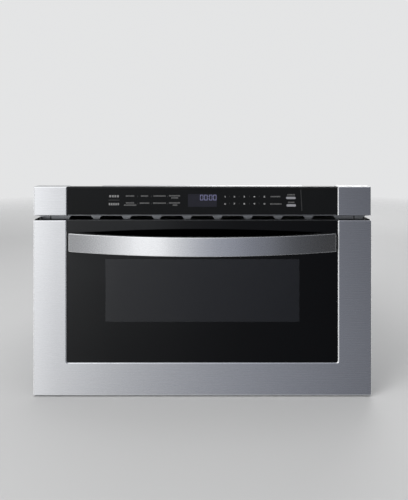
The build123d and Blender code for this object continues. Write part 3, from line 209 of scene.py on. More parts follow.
def brushed_steel(name, level, low, high, grain=(7.0, 900.0, 900.0), bend_highlight=1.0,
                  bend_from=(-0.98, -0.9), matt_until=TO_THE_END, matt_facing=TO_THE_END, painted_light_bands=()):
    """Stainless steel brushed along X in long fine streaks, with a roughness from low to high. Where it
    bends away from the front, from the slopes of bend_from on, it may carry a painted highlight, paler by
    bend_highlight. The painted highlights on the bends are more matt too, along X as far as matt_until, and
    where they face X by less than matt_facing.

    Each of its painted_light_bands is painted light or shade on the steel. Each gives where along X it rises
    from none to full, where it falls back to none, from which to which height it grows, and its share of the
    steel's brightness."""
    paint = Paint(name, metallic=1.0, Anisotropic=0.75, Anisotropic_Rotation=0.25)
    tangent = paint.node("ShaderNodeTangent", direction_type="RADIAL", axis="Z")
    paint.feed(paint.bsdf.inputs["Tangent"], tangent.outputs["Tangent"])
    streak = paint.noise(grain, detail=3.0)
    fine = paint.noise([3.1 * g for g in grain], detail=1.0)
    cloud = paint.noise((3.0, 3.0, 5.0), detail=1.0)
    both = paint.maths("MULTIPLY_ADD", fine, 0.4, paint.times(streak, 0.6))
    tone = paint.mix(both, grey(level * 0.98, -0.012), grey(level * 1.012, -0.004))
    tone = paint.mix(paint.span(cloud, 0.35, 0.65, 0.0, 0.25), tone, grey(level * 0.97, -0.02))
    x, z = paint.along("X"), paint.along("Z")
    # Painted light and shade: each band lightens or darkens the steel's tone over part of X
    for rise, fall, heights, share in painted_light_bands:
        across = paint.times(paint.span(x, *rise), paint.fall(x, *fall))
        where = paint.times(across, paint.span(z, *heights, 0.0, 1.0 / BAND_GAIN))
        further = level * (1 + BAND_GAIN * (share - 1))
        tone = paint.mix(where, tone, grey(min(1.0, further), -0.008))
    # Painted highlight on the bends: paler by bend_highlight, and more matt so that the paler colour shows
    slope = paint.facing("Y")
    bend = paint.times(paint.span(slope, *bend_from), paint.fall(slope, -0.3, -0.15))
    paint.colour(paint.mix(bend, tone, grey(min(1.0, level * bend_highlight), -0.01)))
    if bend_highlight > 1.0:
        matt = paint.times(bend, paint.fall(x, *matt_until))
        matt = paint.times(matt, paint.fall(paint.facing("X"), *matt_facing))
        paint.feed(paint.bsdf.inputs["Metallic"], paint.span(matt, 0.0, 1.0, 1.0, 0.5))
    paint.roughness(paint.span(both, 0.3, 0.7, low, high))
    return paint.bump(both, 0.00003, 0.05)


def zinc_sheet(name, level, size=0.006, low=0.38, high=0.46):
    """Galvanised sheet with its spangle."""
    paint = Paint(name, metallic=0.9)
    per_metre = 1.0 / size
    split = paint.node("ShaderNodeSeparateColor")
    paint.feed(split.inputs["Color"], paint.cells((per_metre, per_metre, per_metre)))
    flake = split.outputs["Red"]
    haze = paint.noise((12.0, 12.0, 12.0), detail=4.0)
    tone = paint.mix(flake, grey(level * 0.93, -0.02), grey(level * 1.05, -0.03))
    paint.colour(paint.mix(paint.span(haze, 0.4, 0.75, 0.0, 0.6), tone, grey(level * 0.95, -0.01)))
    paint.roughness(paint.span(flake, 0.0, 1.0, low, high))
    return paint.bump(haze, 0.0002, 0.15)


def plated(name, colour, rough=0.3, grain=(300.0, 300.0, 300.0)):
    """Plated or bare metal with a fine mottled grain and rolled-on haze."""
    paint = Paint(name, metallic=1.0)
    fine = paint.noise(grain, detail=3.0)
    haze = paint.noise((25.0, 25.0, 25.0), detail=2.0)
    paint.colour(paint.mix(paint.times(fine, haze), shaded(colour, 0.8), shaded(colour, 1.1)))
    paint.roughness(paint.span(fine, 0.3, 0.7, rough - 0.07, rough + 0.1))
    return paint.bump(fine, 0.00004, 0.4)


def enamel(name, colour, rough=0.38, peel=420.0, coat=0.15):
    """Baked paint with orange peel and a faint cloudiness."""
    paint = Paint(name, Coat_Weight=coat, Coat_Roughness=0.2)
    cloud = paint.noise((9.0, 9.0, 9.0), detail=3.0)
    fine = paint.noise((peel, peel, peel), detail=1.0)
    paint.colour(paint.mix(cloud, shaded(colour, 0.86), shaded(colour, 1.08)))
    paint.roughness(paint.span(cloud, 0.3, 0.7, rough - 0.05, rough + 0.08))
    return paint.bump(fine, 0.00006, 0.35)


def moulded(name, colour, rough=0.48, grain=1500.0, depth=0.00006, gloss=0.5):
    """Injection-moulded plastic with a fine spark-eroded grain."""
    paint = Paint(name, Specular_IOR_Level=gloss)
    fine = paint.noise((grain, grain, grain), detail=2.0)
    flow = paint.noise((14.0, 14.0, 14.0), detail=2.0, distortion=0.6)
    paint.colour(paint.mix(flow, shaded(colour, 0.88), shaded(colour, 1.1)))
    paint.roughness(paint.span(fine, 0.3, 0.7, rough - 0.06, rough + 0.08))
    return paint.bump(fine, depth, 0.5)


# Painted light and shade on the front's steel: darker towards the right and more so at its upper right,
# lighter at the far left
FRONT_PAINTED_LIGHT = (
    ((-0.1, 0.3), TO_THE_END, ALL_ALONG, 0.93),
    ((0.15, 0.26), TO_THE_END, (0.1, 0.36), 0.84),
    (ALL_ALONG, (-0.302, -0.262), ALL_ALONG, 1.09),
)
# Painted highlights and shade along the handle: lighter, then darker, then lighter again from left to right
HANDLE_PAINTED_LIGHT = (
    ((-0.205, -0.18), (-0.155, -0.125), ALL_ALONG, 1.08),
    ((-0.115, -0.085), (-0.055, -0.025), ALL_ALONG, 0.91),
    ((0.025, 0.06), (0.12, 0.165), ALL_ALONG, 1.13),
)
steel = brushed_steel("brushed_stainless", 0.62, 0.23, 0.31, bend_highlight=1.5, matt_facing=(-0.3, -0.15),
                      painted_light_bands=FRONT_PAINTED_LIGHT)
handle_steel = brushed_steel("brushed_handle", 0.74, 0.22, 0.3, grain=(9.0, 1100.0, 1100.0),
                             bend_highlight=1.12, bend_from=(-0.925, -0.86), matt_until=(-0.02, 0.1),
                             painted_light_bands=HANDLE_PAINTED_LIGHT)
tub_steel = brushed_steel("tub_stainless", 0.58, 0.3, 0.42, grain=(10.0, 500.0, 700.0))
galvanised = zinc_sheet("galvanised_sheet", 0.6)
zinc = plated("zinc_plate", grey(0.6, -0.03), rough=0.32)
black_plastic = moulded("black_moulding", grey(0.009, -0.05), gloss=0.2)
display_plastic = moulded("display_case", grey(0.05, -0.1))
white_plastic = moulded("gear_moulding", (0.78, 0.76, 0.7, 1.0), rough=0.36, grain=700.0)
duct_plastic = moulded("duct_moulding", (0.5, 0.5, 0.47, 1.0), rough=0.5)
cavity_enamel = enamel("cavity_enamel", (0.6, 0.6, 0.57, 1.0), rough=0.34)
black_enamel = enamel("black_enamel", grey(0.02), rough=0.42)
bronze = plated("sintered_bronze", (0.55, 0.36, 0.16, 1.0), rough=0.42)
motor_metal = plated("motor_can", grey(0.5, -0.02), rough=0.3, grain=(40.0, 600.0, 600.0))
aluminium = plated("drawn_aluminium", grey(0.72, -0.01), rough=0.3, grain=(60.0, 60.0, 900.0))


# ------------------------------------------------------------------ which node wears what
def wear(paint, *names):
    for name in names:
        mesh = nodes[name].data
        mesh.materials.clear()
        mesh.materials.append(paint.mat)


wear(steel, "front_panel", "fascia_end_caps")
wear(handle_steel, "handle")
wear(tub_steel, "food_tub")
wear(galvanised, "base_plate", "top_cover", "side_panel_left", "side_panel_right", "rear_panel",
     "exhaust_duct", "waveguide")
wear(zinc, "case_screws", "handle_screws", "drawer_arms", "drive_bracket", "drive_shaft",
     "motor_pinion", "ball_cages_inner", "ball_cages_outer", "slide_inner_left", "slide_inner_right",
     "slide_middle_left", "slide_middle_right", "slide_outer_left", "slide_outer_right", "oven_lamp")
wear(black_plastic, "door_frame", "choke_cover", "control_housing", "cord_grommet", "fan_blade",
     "interlock_switches")
wear(display_plastic, "display_module")
wear(white_plastic, "drawer_rack", "drive_gear", "latch_hooks", "rack_guide")
wear(duct_plastic, "fan_housing")
wear(cavity_enamel, "cavity_shell", "cavity_floor", "cavity_rear")
wear(black_enamel, "door_pan")
wear(bronze, "drive_bushes")
wear(motor_metal, "drive_motor", "stirrer_motor")
wear(aluminium, "hv_capacitor", "stirrer")


SLIT_X = 0.28                # how far each of the grille's two slits lies from the middle
SLIT_HALF = 0.0016


def front_sheet():
    """Passivated sheet, with painted shade on the hem of the grille's lip and painted light on the rest, and
    painted shade on the plate behind the grille's two slits.
    """
    paint = Paint("passivated_sheet", metallic=0.75)
    grille_front, grille_back = (corner.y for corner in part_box("vent_grille"))
    y = paint.along("Y")
    grain = paint.noise((300.0, 300.0, 300.0), detail=3.0)
    hem = paint.span(y, grille_front + 0.0012, grille_front + 0.002)
    # Painted shade on the hem of the lip, and a lighter, lit copy of the sheet everywhere else
    hem_shade = paint.mix(grain, grey(0.25, -0.03), grey(0.32, -0.03))
    lit_sheet = paint.mix(grain, grey(0.5, -0.03), grey(0.6, -0.03))
    # Painted shade on the plate where it shows through the grille's two slits
    from_slit = paint.maths("SUBTRACT", paint.maths("ABSOLUTE", paint.along("X")), SLIT_X)
    slit_shade = paint.fall(paint.maths("ABSOLUTE", from_slit), SLIT_HALF - 0.0002, SLIT_HALF + 0.0002)
    behind = paint.span(y, grille_back - 0.0004, grille_back - 0.0002)
    lit_sheet = paint.mix(paint.times(slit_shade, behind), lit_sheet, grey(0.02))
    paint.colour(paint.mix(hem, hem_shade, lit_sheet))
    paint.roughness(paint.span(grain, 0.3, 0.7, 0.35, 0.52))
    return paint.bump(grain, 0.00004, 0.4)


DOOR_WINDOW = (Vector((-0.1738, -FAR, 0.1342)), Vector((0.1738, FAR, 0.2465)))
HANDLE_REFLECTION_BOX = (Vector((-0.2393, -FAR, 0.27)), Vector((0.2393, FAR, 0.31)))
ARCH_TOP = 0.3007            # height of the handle's painted reflection at the middle
ARCH_FALL = 0.12             # how fast it drops with the square of X


def window_glass():
    """Black-printed outer glass, with a half-silvered window and a ground top edge. A painted reflection of
    light lies on its left and is strongest in a painted highlight patch high up, but it leaves out the
    painted dark reflection of the handle, an arch."""
    paint = Paint("printed_door_glass", Specular_IOR_Level=0.2)
    x, z = paint.along("X"), paint.along("Z")
    window = paint.boxed(*DOOR_WINDOW)
    edge = paint.inside("Z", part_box("door_glass")[1].z, 0.0003)
    haze = paint.noise((20.0, 20.0, 20.0), detail=2.0)
    black = paint.mix(haze, grey(0.0003, -0.1), grey(0.0006, -0.1))
    # Painted reflection of light, strongest on the left and higher up
    painted_glow = paint.times(paint.fall(x, -0.24, 0.07), paint.span(z, 0.08, 0.26, 0.4, 1.0))
    black = paint.mix(painted_glow, black, grey(0.0105, -0.06))
    # Painted highlight: a patch high up on the left
    highlight_patch = paint.times(paint.span(x, -0.24, -0.15), paint.fall(x, -0.1, -0.03))
    black = paint.mix(paint.times(highlight_patch, paint.span(z, 0.2, 0.27)), black, grey(0.0125, -0.06))
    # Painted dark reflection of the handle: an arch just above it
    height = paint.maths("MULTIPLY_ADD", paint.times(x, x), ARCH_FALL, z)
    handle_reflection = paint.times(paint.fall(height, ARCH_TOP, ARCH_TOP + 0.0005), paint.boxed(*HANDLE_REFLECTION_BOX))
    black = paint.mix(handle_reflection, black, grey(0.0002))
    paint.colour(paint.mix(edge, paint.mix(window, black, grey(0.058, -0.02)), grey(0.06, -0.04)))
    paint.feed(paint.bsdf.inputs["Metallic"], window)
    paint.feed(paint.bsdf.inputs["Alpha"], paint.span(window, 0.0, 1.0, 1.0, 0.8))
    paint.roughness(paint.span(haze, 0.3, 0.7, 0.03, 0.06))
    return paint


def fascia_glass():
    """Black-printed glass over the touch keys and the display."""
    paint = Paint("printed_fascia_glass", Specular_IOR_Level=0.06)
    haze = paint.noise((20.0, 20.0, 20.0), detail=2.0)
    paint.colour(paint.mix(haze, grey(0.007, -0.05), grey(0.009, -0.05)))
    paint.roughness(paint.span(haze, 0.3, 0.7, 0.06, 0.1))
    return paint


def clear_glass():
    """Faintly hazy pane."""
    paint = Paint("clear_pane", rough=0.04)
    haze = paint.noise((30.0, 30.0, 30.0), detail=2.0)
    paint.colour(paint.mix(haze, (0.5, 0.54, 0.52, 1.0), (0.6, 0.63, 0.61, 1.0)))
    paint.feed(paint.bsdf.inputs["Alpha"], paint.span(haze, 0.0, 1.0, 0.2, 0.26))
    return paint


HOLE_PITCH = 0.0021


def perforated_screen():
    """Dark sheet with rows of small holes."""
    paint = Paint("perforated_screen", metallic=0.95, rough=0.3)
    per_metre = 1.0 / HOLE_PITCH
    spot = paint.cells((per_metre, 0.0, per_metre), output="Distance")
    spot.node.inputs["Randomness"].default_value = 0.0
    hole = paint.fall(spot, 0.3, 0.36)
    paint.colour(paint.mix(hole, grey(0.26, -0.05), grey(0.08, -0.05)))
    return paint.bump(hole, -0.0003, 0.5)


def ceramic():
    """Pale glass-ceramic with tiny flecks."""
    paint = Paint("glass_ceramic", Coat_Weight=0.5, Coat_Roughness=0.08)
    fleck = paint.noise((900.0, 900.0, 900.0), detail=1.0)
    cloud = paint.noise((14.0, 14.0, 14.0), detail=3.0)
    tone = paint.mix(cloud, (0.66, 0.66, 0.63, 1.0), (0.74, 0.74, 0.71, 1.0))
    paint.colour(paint.mix(paint.span(fleck, 0.66, 0.72), tone, (0.3, 0.3, 0.3, 1.0)))
    paint.roughness(paint.span(cloud, 0.3, 0.7, 0.22, 0.32))
    return paint


def mica():
    """Mica sheet with pearly flakes."""
    paint = Paint("mica_sheet", Coat_Weight=0.3, Coat_Roughness=0.25)
    split = paint.node("ShaderNodeSeparateColor")
    paint.feed(split.inputs["Color"], paint.cells((160.0, 160.0, 160.0)))
    paint.colour(paint.mix(split.outputs["Green"], (0.34, 0.27, 0.19, 1.0), (0.55, 0.48, 0.38, 1.0)))
    paint.roughness(paint.span(split.outputs["Red"], 0.0, 1.0, 0.3, 0.5))
    return paint.bump(split.outputs["Blue"], 0.00008, 0.4)


def laminated(name, coils, copper=(0.5, 0.2, 0.08, 1.0)):
    """Laminated iron core, and copper windings inside the given box."""
    paint = Paint(name, metallic=0.85)
    sheets, turns = paint.waves(1100.0, "Y"), paint.waves(550.0, "Z")
    rust = paint.noise((60.0, 60.0, 60.0), detail=4.0)
    iron = paint.mix(sheets, grey(0.1, 0.04), grey(0.24, 0.02))
    iron = paint.mix(paint.span(rust, 0.55, 0.8, 0.0, 0.5), iron, (0.16, 0.09, 0.05, 1.0))
    wire = paint.mix(turns, shaded(copper, 0.45), copper)
    paint.colour(paint.mix(paint.boxed(*coils), iron, wire))
    paint.roughness(paint.span(rust, 0.3, 0.7, 0.35, 0.55))
    return paint.bump(turns, 0.0003, 0.3)


def circuit(name, parts):
    """Green board with tinned tracks. Each of parts is a box with its colour."""
    paint = Paint(name, Coat_Weight=0.2, Coat_Roughness=0.2, rough=0.4)
    track = paint.cells((240.0, 1.0, 240.0), output="Distance")
    track.node.distance = "MANHATTAN"
    mask = paint.noise((30.0, 30.0, 30.0), detail=3.0)
    green = paint.mix(paint.span(track, 0.28, 0.34), (0.03, 0.2, 0.07, 1.0), (0.01, 0.1, 0.035, 1.0))
    colour = paint.mix(paint.span(mask, 0.6, 0.62), green, (0.03, 0.16, 0.06, 1.0))
    for low, high, tint in parts:
        colour = paint.mix(paint.boxed(low, high), colour, tint)
    paint.colour(colour)
    return paint.bump(track, 0.0001, 0.2)


FERRITE_HALF = 0.0295        # half the width of a ring magnet
FERRITE_H = 0.0125
FERRITE_DROP = 0.0022        # from the magnetron's top to the upper magnet
FERRITE_SPAN = 0.0876        # from the upper magnet's top to the lower magnet's bottom


def magnetron_paint():
    """Plated yoke and fins, with dark ferrite magnets round the anode."""
    paint = Paint("magnetron_parts", metallic=0.9)
    low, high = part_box("magnetron")
    grain = paint.noise((400.0, 400.0, 400.0), detail=2.0)
    body = paint.mix(grain, grey(0.55, -0.02), grey(0.7, -0.02))
    middle = (low + high) / 2
    top = high.z - FERRITE_DROP
    for start in (top - FERRITE_H, top - FERRITE_SPAN):
        ring = paint.boxed(
            Vector((middle.x - FERRITE_HALF, middle.y - FERRITE_HALF, start)),
            Vector((middle.x + FERRITE_HALF, middle.y + FERRITE_HALF, start + FERRITE_H)),
        )
        body = paint.mix(ring, body, grey(0.035))
    paint.colour(body)
    paint.roughness(paint.span(grain, 0.3, 0.7, 0.28, 0.42))
    return paint.bump(grain, 0.00004, 0.3)


wear(front_sheet(), "front_plate", "vent_grille")
wear(window_glass(), "door_glass")
wear(fascia_glass(), "control_glass")
wear(clear_glass(), "inner_window")
wear(perforated_screen(), "window_screen")
wear(ceramic(), "ceramic_floor")
wear(mica(), "stirrer_cover")
wear(magnetron_paint(), "magnetron")

CORE_RIM = 0.0172            # iron round the transformer's coils
POLE_T = 0.011               # iron at each side of the fan motor's coil
COIL_H = 0.018
STANDOFF_T = 0.0079          # posts behind the power board, up to the board
PARTS_FROM = 0.0098          # the far face of the power board, where its parts stand
CONTROL_PARTS_T = 0.0078     # parts on the back of the control board

low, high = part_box("hv_transformer")
wear(laminated("transformer_parts", (
    Vector((low.x + CORE_RIM, low.y - FAR, low.z + CORE_RIM)),
    Vector((high.x - CORE_RIM, high.y + FAR, high.z - CORE_RIM)),
)), "hv_transformer")

low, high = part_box("fan_motor")
wear(laminated("fan_motor_parts", (
    Vector((low.x - FAR, low.y + POLE_T, low.z)),
    Vector((high.x + FAR, high.y - POLE_T, low.z + COIL_H)),
), copper=(0.5, 0.3, 0.05, 1.0)), "fan_motor")

low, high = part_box("power_board")
wear(circuit("filter_board", [
    (Vector((low.x, low.y + PARTS_FROM, low.z)), high, (0.02, 0.06, 0.2, 1.0)),
    (Vector((low.x - FAR, low.y - FAR, low.z - FAR)),
     Vector((high.x + FAR, low.y + STANDOFF_T, high.z + FAR)), (0.7, 0.69, 0.64, 1.0)),
]), "power_board")

low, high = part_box("control_board")
wear(circuit("touch_board", [
    (Vector((low.x, high.y - CONTROL_PARTS_T, low.z)), high, grey(0.02)),
]), "control_board")


# ------------------------------------------------------------------ print on the controls
GLASS_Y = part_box("control_glass")[0].y
PRINT_T = 0.00012
FOCAL_PX = LENS / SENSOR * PICTURE[1]
GLASS_SCALE = (GLASS_Y - EYE[1]) / FOCAL_PX          # metres a pixel at the fascia's glass
MIDDLE_PX = PICTURE[0] / 2 - SHIFT[0] * PICTURE[1]
EYE_PY = PICTURE[1] / 2 + SHIFT[1] * PICTURE[1]      # height of the eye in the picture


def at(px, py):
    """A point of the fascia's face from its place in the picture's frame."""
    return (px - MIDDLE_PX) * GLASS_SCALE, EYE[2] - (py - EYE_PY) * GLASS_SCALE


def flat_piece(name, outlines, paint, body="chassis", y=GLASS_Y, thick=PRINT_T):
    """One piece from closed outlines in (x, z), so thick to the front of y. It rides with the body."""
    mesh = bmesh.new()
    for outline in outlines:
        front = [mesh.verts.new((x, y - thick, z)) for x, z in outline]
        back = [mesh.verts.new((x, y, z)) for x, z in outline]
        mesh.faces.new(front)
        mesh.faces.new(back[::-1])
        for n in range(len(outline)):
            m = (n + 1) % len(outline)
            mesh.faces.new((front[m], front[n], back[n], back[m]))
    bmesh.ops.recalc_face_normals(mesh, faces=mesh.faces)
    data = bpy.data.meshes.new(name)
    mesh.to_mesh(data)
    mesh.free()
    data.materials.append(paint.mat)
    piece = bpy.data.objects.new(name, data)
    scene.collection.objects.link(piece)
    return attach(piece, body)


def rounded(x, z, w, h, r, steps=5):
    """Outline of a rounded bar about a middle point. Its ends are never quite round, so no edge is lost."""
    r = min(r, 0.999 * w / 2, 0.999 * h / 2)
    points = []
    for cx, cz, start in ((1, 1, 0), (-1, 1, 90), (-1, -1, 180), (1, -1, 270)):
        for n in range(steps + 1):
            a = math.radians(start + 90 * n / steps)
            points.append((x + cx * (w / 2 - r) + r * math.cos(a),
                           z + cz * (h / 2 - r) + r * math.sin(a)))
    return points


def ink(name, level, blue=0.0, glow=0.0, gloss=0.4):
    """Screen-printed ink of a grey level. blue above 0 turns it to a cold grey."""
    paint = Paint(name, rough=0.4, Specular_IOR_Level=gloss)
    grain = paint.noise((3000.0, 3000.0, 3000.0), detail=1.0)
    dark, light = ((tone, tone, tone * (1 + blue), 1.0) for tone in (level * 0.92, level * 1.05))
    paint.colour(paint.mix(grain, dark, light))
    if glow:
        paint.bsdf.inputs["Emission Color"].default_value = (1.0, 1.0, 1.0 + blue, 1.0)
        paint.bsdf.inputs["Emission Strength"].default_value = glow
    return paint


def dashes(px0, px1, py, tall=2.0, letter=1.15, gap=0.42):
    """A label without words: a row of small blocks from px0 to px1. Its sizes are in pixels too."""
    count = max(2, round((px1 - px0 + gap) / (letter + gap)))
    step = (px1 - px0 + gap) / count
    outlines = []
    for n in range(count):
        x, z = at(px0 + step * n + (step - gap) / 2, py)
        outlines.append(rounded(x, z, (step - gap) * GLASS_SCALE, tall * GLASS_SCALE, r=0.0004, steps=2))
    return outlines


bright_ink = ink("key_print", 0.4)
mark_ink = ink("mark_print", 0.2)
label_ink = ink("label_print", 0.115)
faint_ink = ink("divider_print", 0.038)
edge_ink = ink("field_edge_print", 0.03)
pill_ink = ink("pill_print", 0.25, 0.08)

marks = dashes(109.3, 118.8, 196.2, tall=2.1, letter=1.6, gap=0.8)
marks += dashes(108.8, 119.0, 204.1, tall=2.3, letter=1.4, gap=0.7)
flat_piece("open_close_marks", marks, mark_ink)

LABELS = (                   # where each starts and ends, and its height in the picture
    (125.8, 134.2, 196.0), (140.9, 148.1, 196.0), (153.6, 165.5, 196.0), (169.0, 180.0, 195.8),
    (171.4, 178.0, 197.9), (126.0, 134.0, 202.9), (124.0, 136.2, 205.1), (139.7, 149.2, 203.1),
    (153.2, 165.8, 203.1), (169.0, 180.0, 202.9), (172.8, 177.2, 205.1), (270.6, 280.2, 196.6),
    (270.2, 281.4, 204.0), (287.4, 294.8, 194.8), (288.2, 294.2, 202.4),
)
labels = []
for px0, px1, py in LABELS:
    labels += dashes(px0, px1, py, tall=1.3, letter=0.85, gap=0.35)
flat_piece("label_marks", labels, label_ink)

DIVIDERS_PX = (137.6, 151.4, 167.4, 229.6, 239.1, 249.5, 259.2)
DIVIDERS_PY = (196.4, 203.6)
dividers = dashes(108.8, 119.3, 200.1, tall=0.8, letter=0.7, gap=0.4)
for px in DIVIDERS_PX:
    for py in DIVIDERS_PY:
        dividers.append(rounded(*at(px, py), w=0.0005, h=0.0025, r=0.0002))
flat_piece("divider_marks", dividers, faint_ink)

field_edge = [at(302.3, 211.0), at(301.1, 189.6), at(300.4, 189.6), at(301.6, 211.0)]
flat_piece("key_field_edge", [field_edge], edge_ink)
PILLS = ((290.9, 197.95), (291.2, 205.35))
flat_piece("key_pills", [rounded(*at(*place), w=0.0172, h=0.0042, r=0.002) for place in PILLS], pill_ink)

KEY_ROWS = (("12345", 196.75), ("67890", 203.85))
KEYS_PX = (225.1, 234.4, 244.3, 254.3, 264.4)
NUMERAL_H = 0.0028
NUMERAL_STRETCH = 1.75       # wider than the font's figures by this share
FONT_SIZE = 1.38             # of the font, for figures of height 1
FONT_THICKEN = 0.012         # outward, for figures of height 1


def numeral(text, px, py):
    """A number key as a thin raised print."""
    curve = bpy.data.curves.new("key_" + text, "FONT")
    curve.body = text
    curve.size = NUMERAL_H * FONT_SIZE
    curve.align_x = "CENTER"
    curve.align_y = "CENTER"
    curve.extrude = PRINT_T / 2
    curve.offset = NUMERAL_H * FONT_THICKEN
    made = bpy.data.objects.new("key_text", curve)
    scene.collection.objects.link(made)
    x, z = at(px, py)
    made.rotation_euler = UPRIGHT
    made.scale = (NUMERAL_STRETCH, 1, 1)
    made.location = (x, GLASS_Y - PRINT_T / 2, z)
    bpy.context.view_layer.update()
    data = bpy.data.meshes.new_from_object(made.evaluated_get(bpy.context.evaluated_depsgraph_get()))
    data.transform(made.matrix_world)
    bpy.data.objects.remove(made)
    bpy.data.curves.remove(curve)
    data.materials.clear()
    data.materials.append(bright_ink.mat)
    piece = bpy.data.objects.new("number_key_" + text, data)
    scene.collection.objects.link(piece)
    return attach(piece, "chassis")


for row, py in KEY_ROWS:
    for text, px in zip(row, KEYS_PX):
        numeral(text, px, py)


def segment_digit(x, z, w, h, t):
    """A zero of a seven-segment display, w wide and h high, with pointed segments of width t."""
    outlines = []
    half_h = h / 2
    for side in (-1, 1):
        for level in (-1, 1):
            cx, cz = x + side * (w - t) / 2, z + level * half_h / 2
            long = half_h - t * 0.9
            outlines.append([
                (cx, cz - long / 2 - t / 2), (cx + t / 2, cz - long / 2), (cx + t / 2, cz + long / 2),
                (cx, cz + long / 2 + t / 2), (cx - t / 2, cz + long / 2), (cx - t / 2, cz - long / 2),
            ])
    for level in (-1, 1):
        cz, long = z + level * (h - t) / 2, w - t * 1.9
        outlines.append([
            (x - long / 2 - t / 2, cz), (x - long / 2, cz - t / 2), (x + long / 2, cz - t / 2),
            (x + long / 2 + t / 2, cz), (x + long / 2, cz + t / 2), (x - long / 2, cz + t / 2),
        ])
    return outlines


screen_ink = ink("display_glass", 0.0165, 0.35, gloss=0.1)
digit_ink = ink("display_digits", 0.1, 0.75, glow=0.075)
left, top = at(188.0, 194.1)
right, bottom = at(216.8, 206.8)
SCREEN_T = 0.6 * PRINT_T     # thinner, so that the digits stand out of it
flat_piece("display_screen", [
    rounded((left + right) / 2, (top + bottom) / 2, right - left, top - bottom, r=0.0006)
], screen_ink, thick=SCREEN_T)

DIGITS_PX = (201.7, 205.9, 210.7, 214.8)
DIGITS_PY = 197.55
COLON_PX = 208.15
COLON_PY = (196.5, 198.7)
digits = []
for px in DIGITS_PX:
    digits += segment_digit(*at(px, DIGITS_PY), w=0.0058, h=0.0098, t=0.001)
for py in COLON_PY:
    digits.append(rounded(*at(COLON_PX, py), w=0.001, h=0.001, r=0.0005))
flat_piece("display_digits", digits, digit_ink)


# ------------------------------------------------------------------ clips of the drawer's top cap
CLIP_OUTLINE = (
    (0.3022, 0.3137), (0.2997, 0.3137), (0.2997, 0.3165),
    (0.2962, 0.3165), (0.2962, 0.3186), (0.2995, 0.3186),
)
CLIP_BACK_Y = -0.2327
CLIP_DEPTH = 0.0275
for side, name in ((-1, "top_cap_clip_left"), (1, "top_cap_clip_right")):
    flat_piece(name, [[(side * x, z) for x, z in CLIP_OUTLINE]], black_plastic,
               body="drawer", y=CLIP_BACK_Y, thick=CLIP_DEPTH)


# ------------------------------------------------------------------ stage
FLOOR_R = 4.0
FLOOR_DROP = 0.0002          # keeps the floor's top off the underside of the case
FLOOR_FADE = (1.6, 3.6)      # how far out it starts to clear and is clear


def pale_floor():
    """Pale floor that clears towards its rim, and hardly shows in shiny surfaces."""
    paint = Paint("pale_floor", rough=0.6, Specular_IOR_Level=0.25)
    cloud = paint.noise((1.2, 1.2, 1.2), detail=2.0)
    paint.colour(paint.mix(cloud, grey(0.52), grey(0.56)))
    far = paint.node("ShaderNodeVectorMath", operation="LENGTH")
    paint.feed(far.inputs[0], paint.place)
    clear = paint.node("ShaderNodeBsdfTransparent")
    blend = paint.node("ShaderNodeMixShader")
    glossy = paint.node("ShaderNodeLightPath").outputs["Is Glossy Ray"]
    fade = paint.span(far.outputs["Value"], *FLOOR_FADE)
    paint.feed(blend.inputs[0], paint.maths("MAXIMUM", fade, paint.times(glossy, 0.95)))
    paint.feed(blend.inputs[1], paint.bsdf.outputs[0])
    paint.feed(blend.inputs[2], clear.outputs[0])
    paint.feed(paint.tree.nodes["Material Output"].inputs["Surface"], blend.outputs[0])
    return paint


floor_mesh = bmesh.new()
bmesh.ops.create_circle(floor_mesh, cap_ends=True, radius=FLOOR_R, segments=96)
floor_data = bpy.data.meshes.new("floor")
floor_mesh.to_mesh(floor_data)
floor_mesh.free()
floor = bpy.data.objects.new("floor", floor_data)
floor.location = (0, 0, -FLOOR_DROP)
scene.collection.objects.link(floor)
floor_data.materials.append(pale_floor().mat)


def lamp(name, place, target, size, power, mirrored=False):
    """A soft rectangular studio lamp aimed at a point."""
    data = bpy.data.lights.new(name, "AREA")
    data.shape = "RECTANGLE"
    data.size, data.size_y = size
    data.energy = power
    made = bpy.data.objects.new(name, data)
    made.location = place
    made.rotation_euler = (Vector(target) - Vector(place)).to_track_quat("-Z", "Y").to_euler()
    made.visible_glossy = mirrored
    scene.collection.objects.link(made)


lamp("key", (-1.5, -1.9, 2.1), (0, -0.2, 0.2), (1.5, 2.2), 45.0)
lamp("low", (-1.7, -2.3, 0.42), (0, -0.2, 0.32), (0.9, 0.7), 25.0)
lamp("top", (-0.2, -0.4, 2.6), (0, 0, 0.1), (2.4, 2.0), 22.0)
lamp("back", (0.8, 2.4, 1.6), (0, 0, 0.2), (2.0, 1.4), 25.0, mirrored=True)


# What shiny surfaces see in front of the object, from its left (-1) to its right (1):
# the light near the floor, the light higher up, and how blue it is
FRONT_GLOW = (
    (-1.0, 0.3, 0.35, 0.0), (-0.82, 0.28, 0.38, 0.03), (-0.6, 0.48, 0.68, 0.03),
    (-0.42, 0.95, 1.42, 0.02), (-0.3, 1.08, 1.64, 0.02), (-0.22, 0.79, 1.2, 0.03),
    (-0.14, 0.56, 0.79, 0.06), (0.0, 0.4, 0.54, 0.12), (0.14, 0.29, 0.39, 0.17),
    (0.29, 0.2, 0.22, 0.19), (0.42, 0.13, 0.19, 0.18), (0.55, 0.07, 0.1, 0.15),
    (0.8, 0.04, 0.02, 0.08), (1.0, 0.16, 0.16, 0.0),
)
GLOW_PEAK = 2.0              # the glow's colours are shares of this level, so that none is over 1
UPWARD = (-0.42, -0.12)      # slopes between which the low light turns into the higher light
BACKWARD = (-0.35, 0.1)      # slopes between which the front's light turns into what is behind
BEHIND_LEVEL = 0.66          # what shiny surfaces see behind the object
SOFT_LEVEL = 0.42            # what lights the matt surfaces
SHOWN_LEVEL = 0.78           # the background in the picture


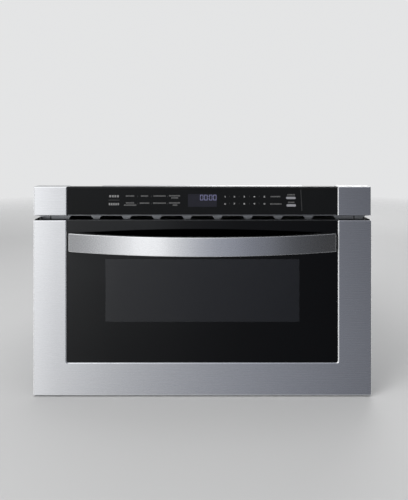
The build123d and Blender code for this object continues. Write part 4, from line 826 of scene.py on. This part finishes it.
def studio_world():
    """Background, soft light and mirrored light, each for the rays that ask for it."""
    world = bpy.data.worlds.new("studio")
    world.use_nodes = True
    scene.world = world
    tree = world.node_tree

    def node(kind, *values, **settings):
        """The main output of a new node, with values or links for its first sockets."""
        made = tree.nodes.new(kind)
        for key, value in settings.items():
            setattr(made, key, value)
        for socket, value in zip(made.inputs, values):
            if isinstance(value, bpy.types.NodeSocket):
                tree.links.new(value, socket)
            else:
                socket.default_value = value
        return made.outputs[0]

    def even_glow(level, warm=-0.01):
        return node("ShaderNodeBackground", grey(1.0, warm), level)

    def front_glow(height):
        """The light of one column of FRONT_GLOW across the front."""
        ramp = tree.nodes.new("ShaderNodeValToRGB")
        tree.links.new(across, ramp.inputs["Fac"])
        stops = ramp.color_ramp.elements
        for n, row in enumerate(FRONT_GLOW):
            place = row[0] / 2 + 0.5
            stop = stops[n] if n < 2 else stops.new(place)
            stop.position = place
            level, blue = row[height] / GLOW_PEAK, row[3]
            stop.color = (level * (1 - blue / 4), level, level * (1 + blue), 1.0)
        return node("ShaderNodeBackground", ramp.outputs["Color"], GLOW_PEAK)

    split = tree.nodes.new("ShaderNodeSeparateXYZ")
    tree.links.new(tree.nodes.new("ShaderNodeTexCoord").outputs["Generated"], split.inputs[0])
    across = node("ShaderNodeMath", split.outputs["X"], 0.5, 0.5, operation="MULTIPLY_ADD")
    higher = node("ShaderNodeMapRange", split.outputs["Z"], *UPWARD)
    front = node("ShaderNodeMixShader", higher, front_glow(1), front_glow(2))
    behind = node("ShaderNodeMapRange", split.outputs["Y"], *BACKWARD)
    mirrored = node("ShaderNodeMixShader", behind, front, even_glow(BEHIND_LEVEL))
    path = tree.nodes.new("ShaderNodeLightPath").outputs
    lit = node("ShaderNodeMixShader", path["Is Glossy Ray"], even_glow(SOFT_LEVEL), mirrored)
    shown = node("ShaderNodeMath", path["Is Camera Ray"], path["Is Transmission Ray"], operation="MAXIMUM")
    last = node("ShaderNodeMixShader", shown, lit, even_glow(SHOWN_LEVEL, -0.006))
    tree.links.new(last, tree.nodes["World Output"].inputs["Surface"])


studio_world()
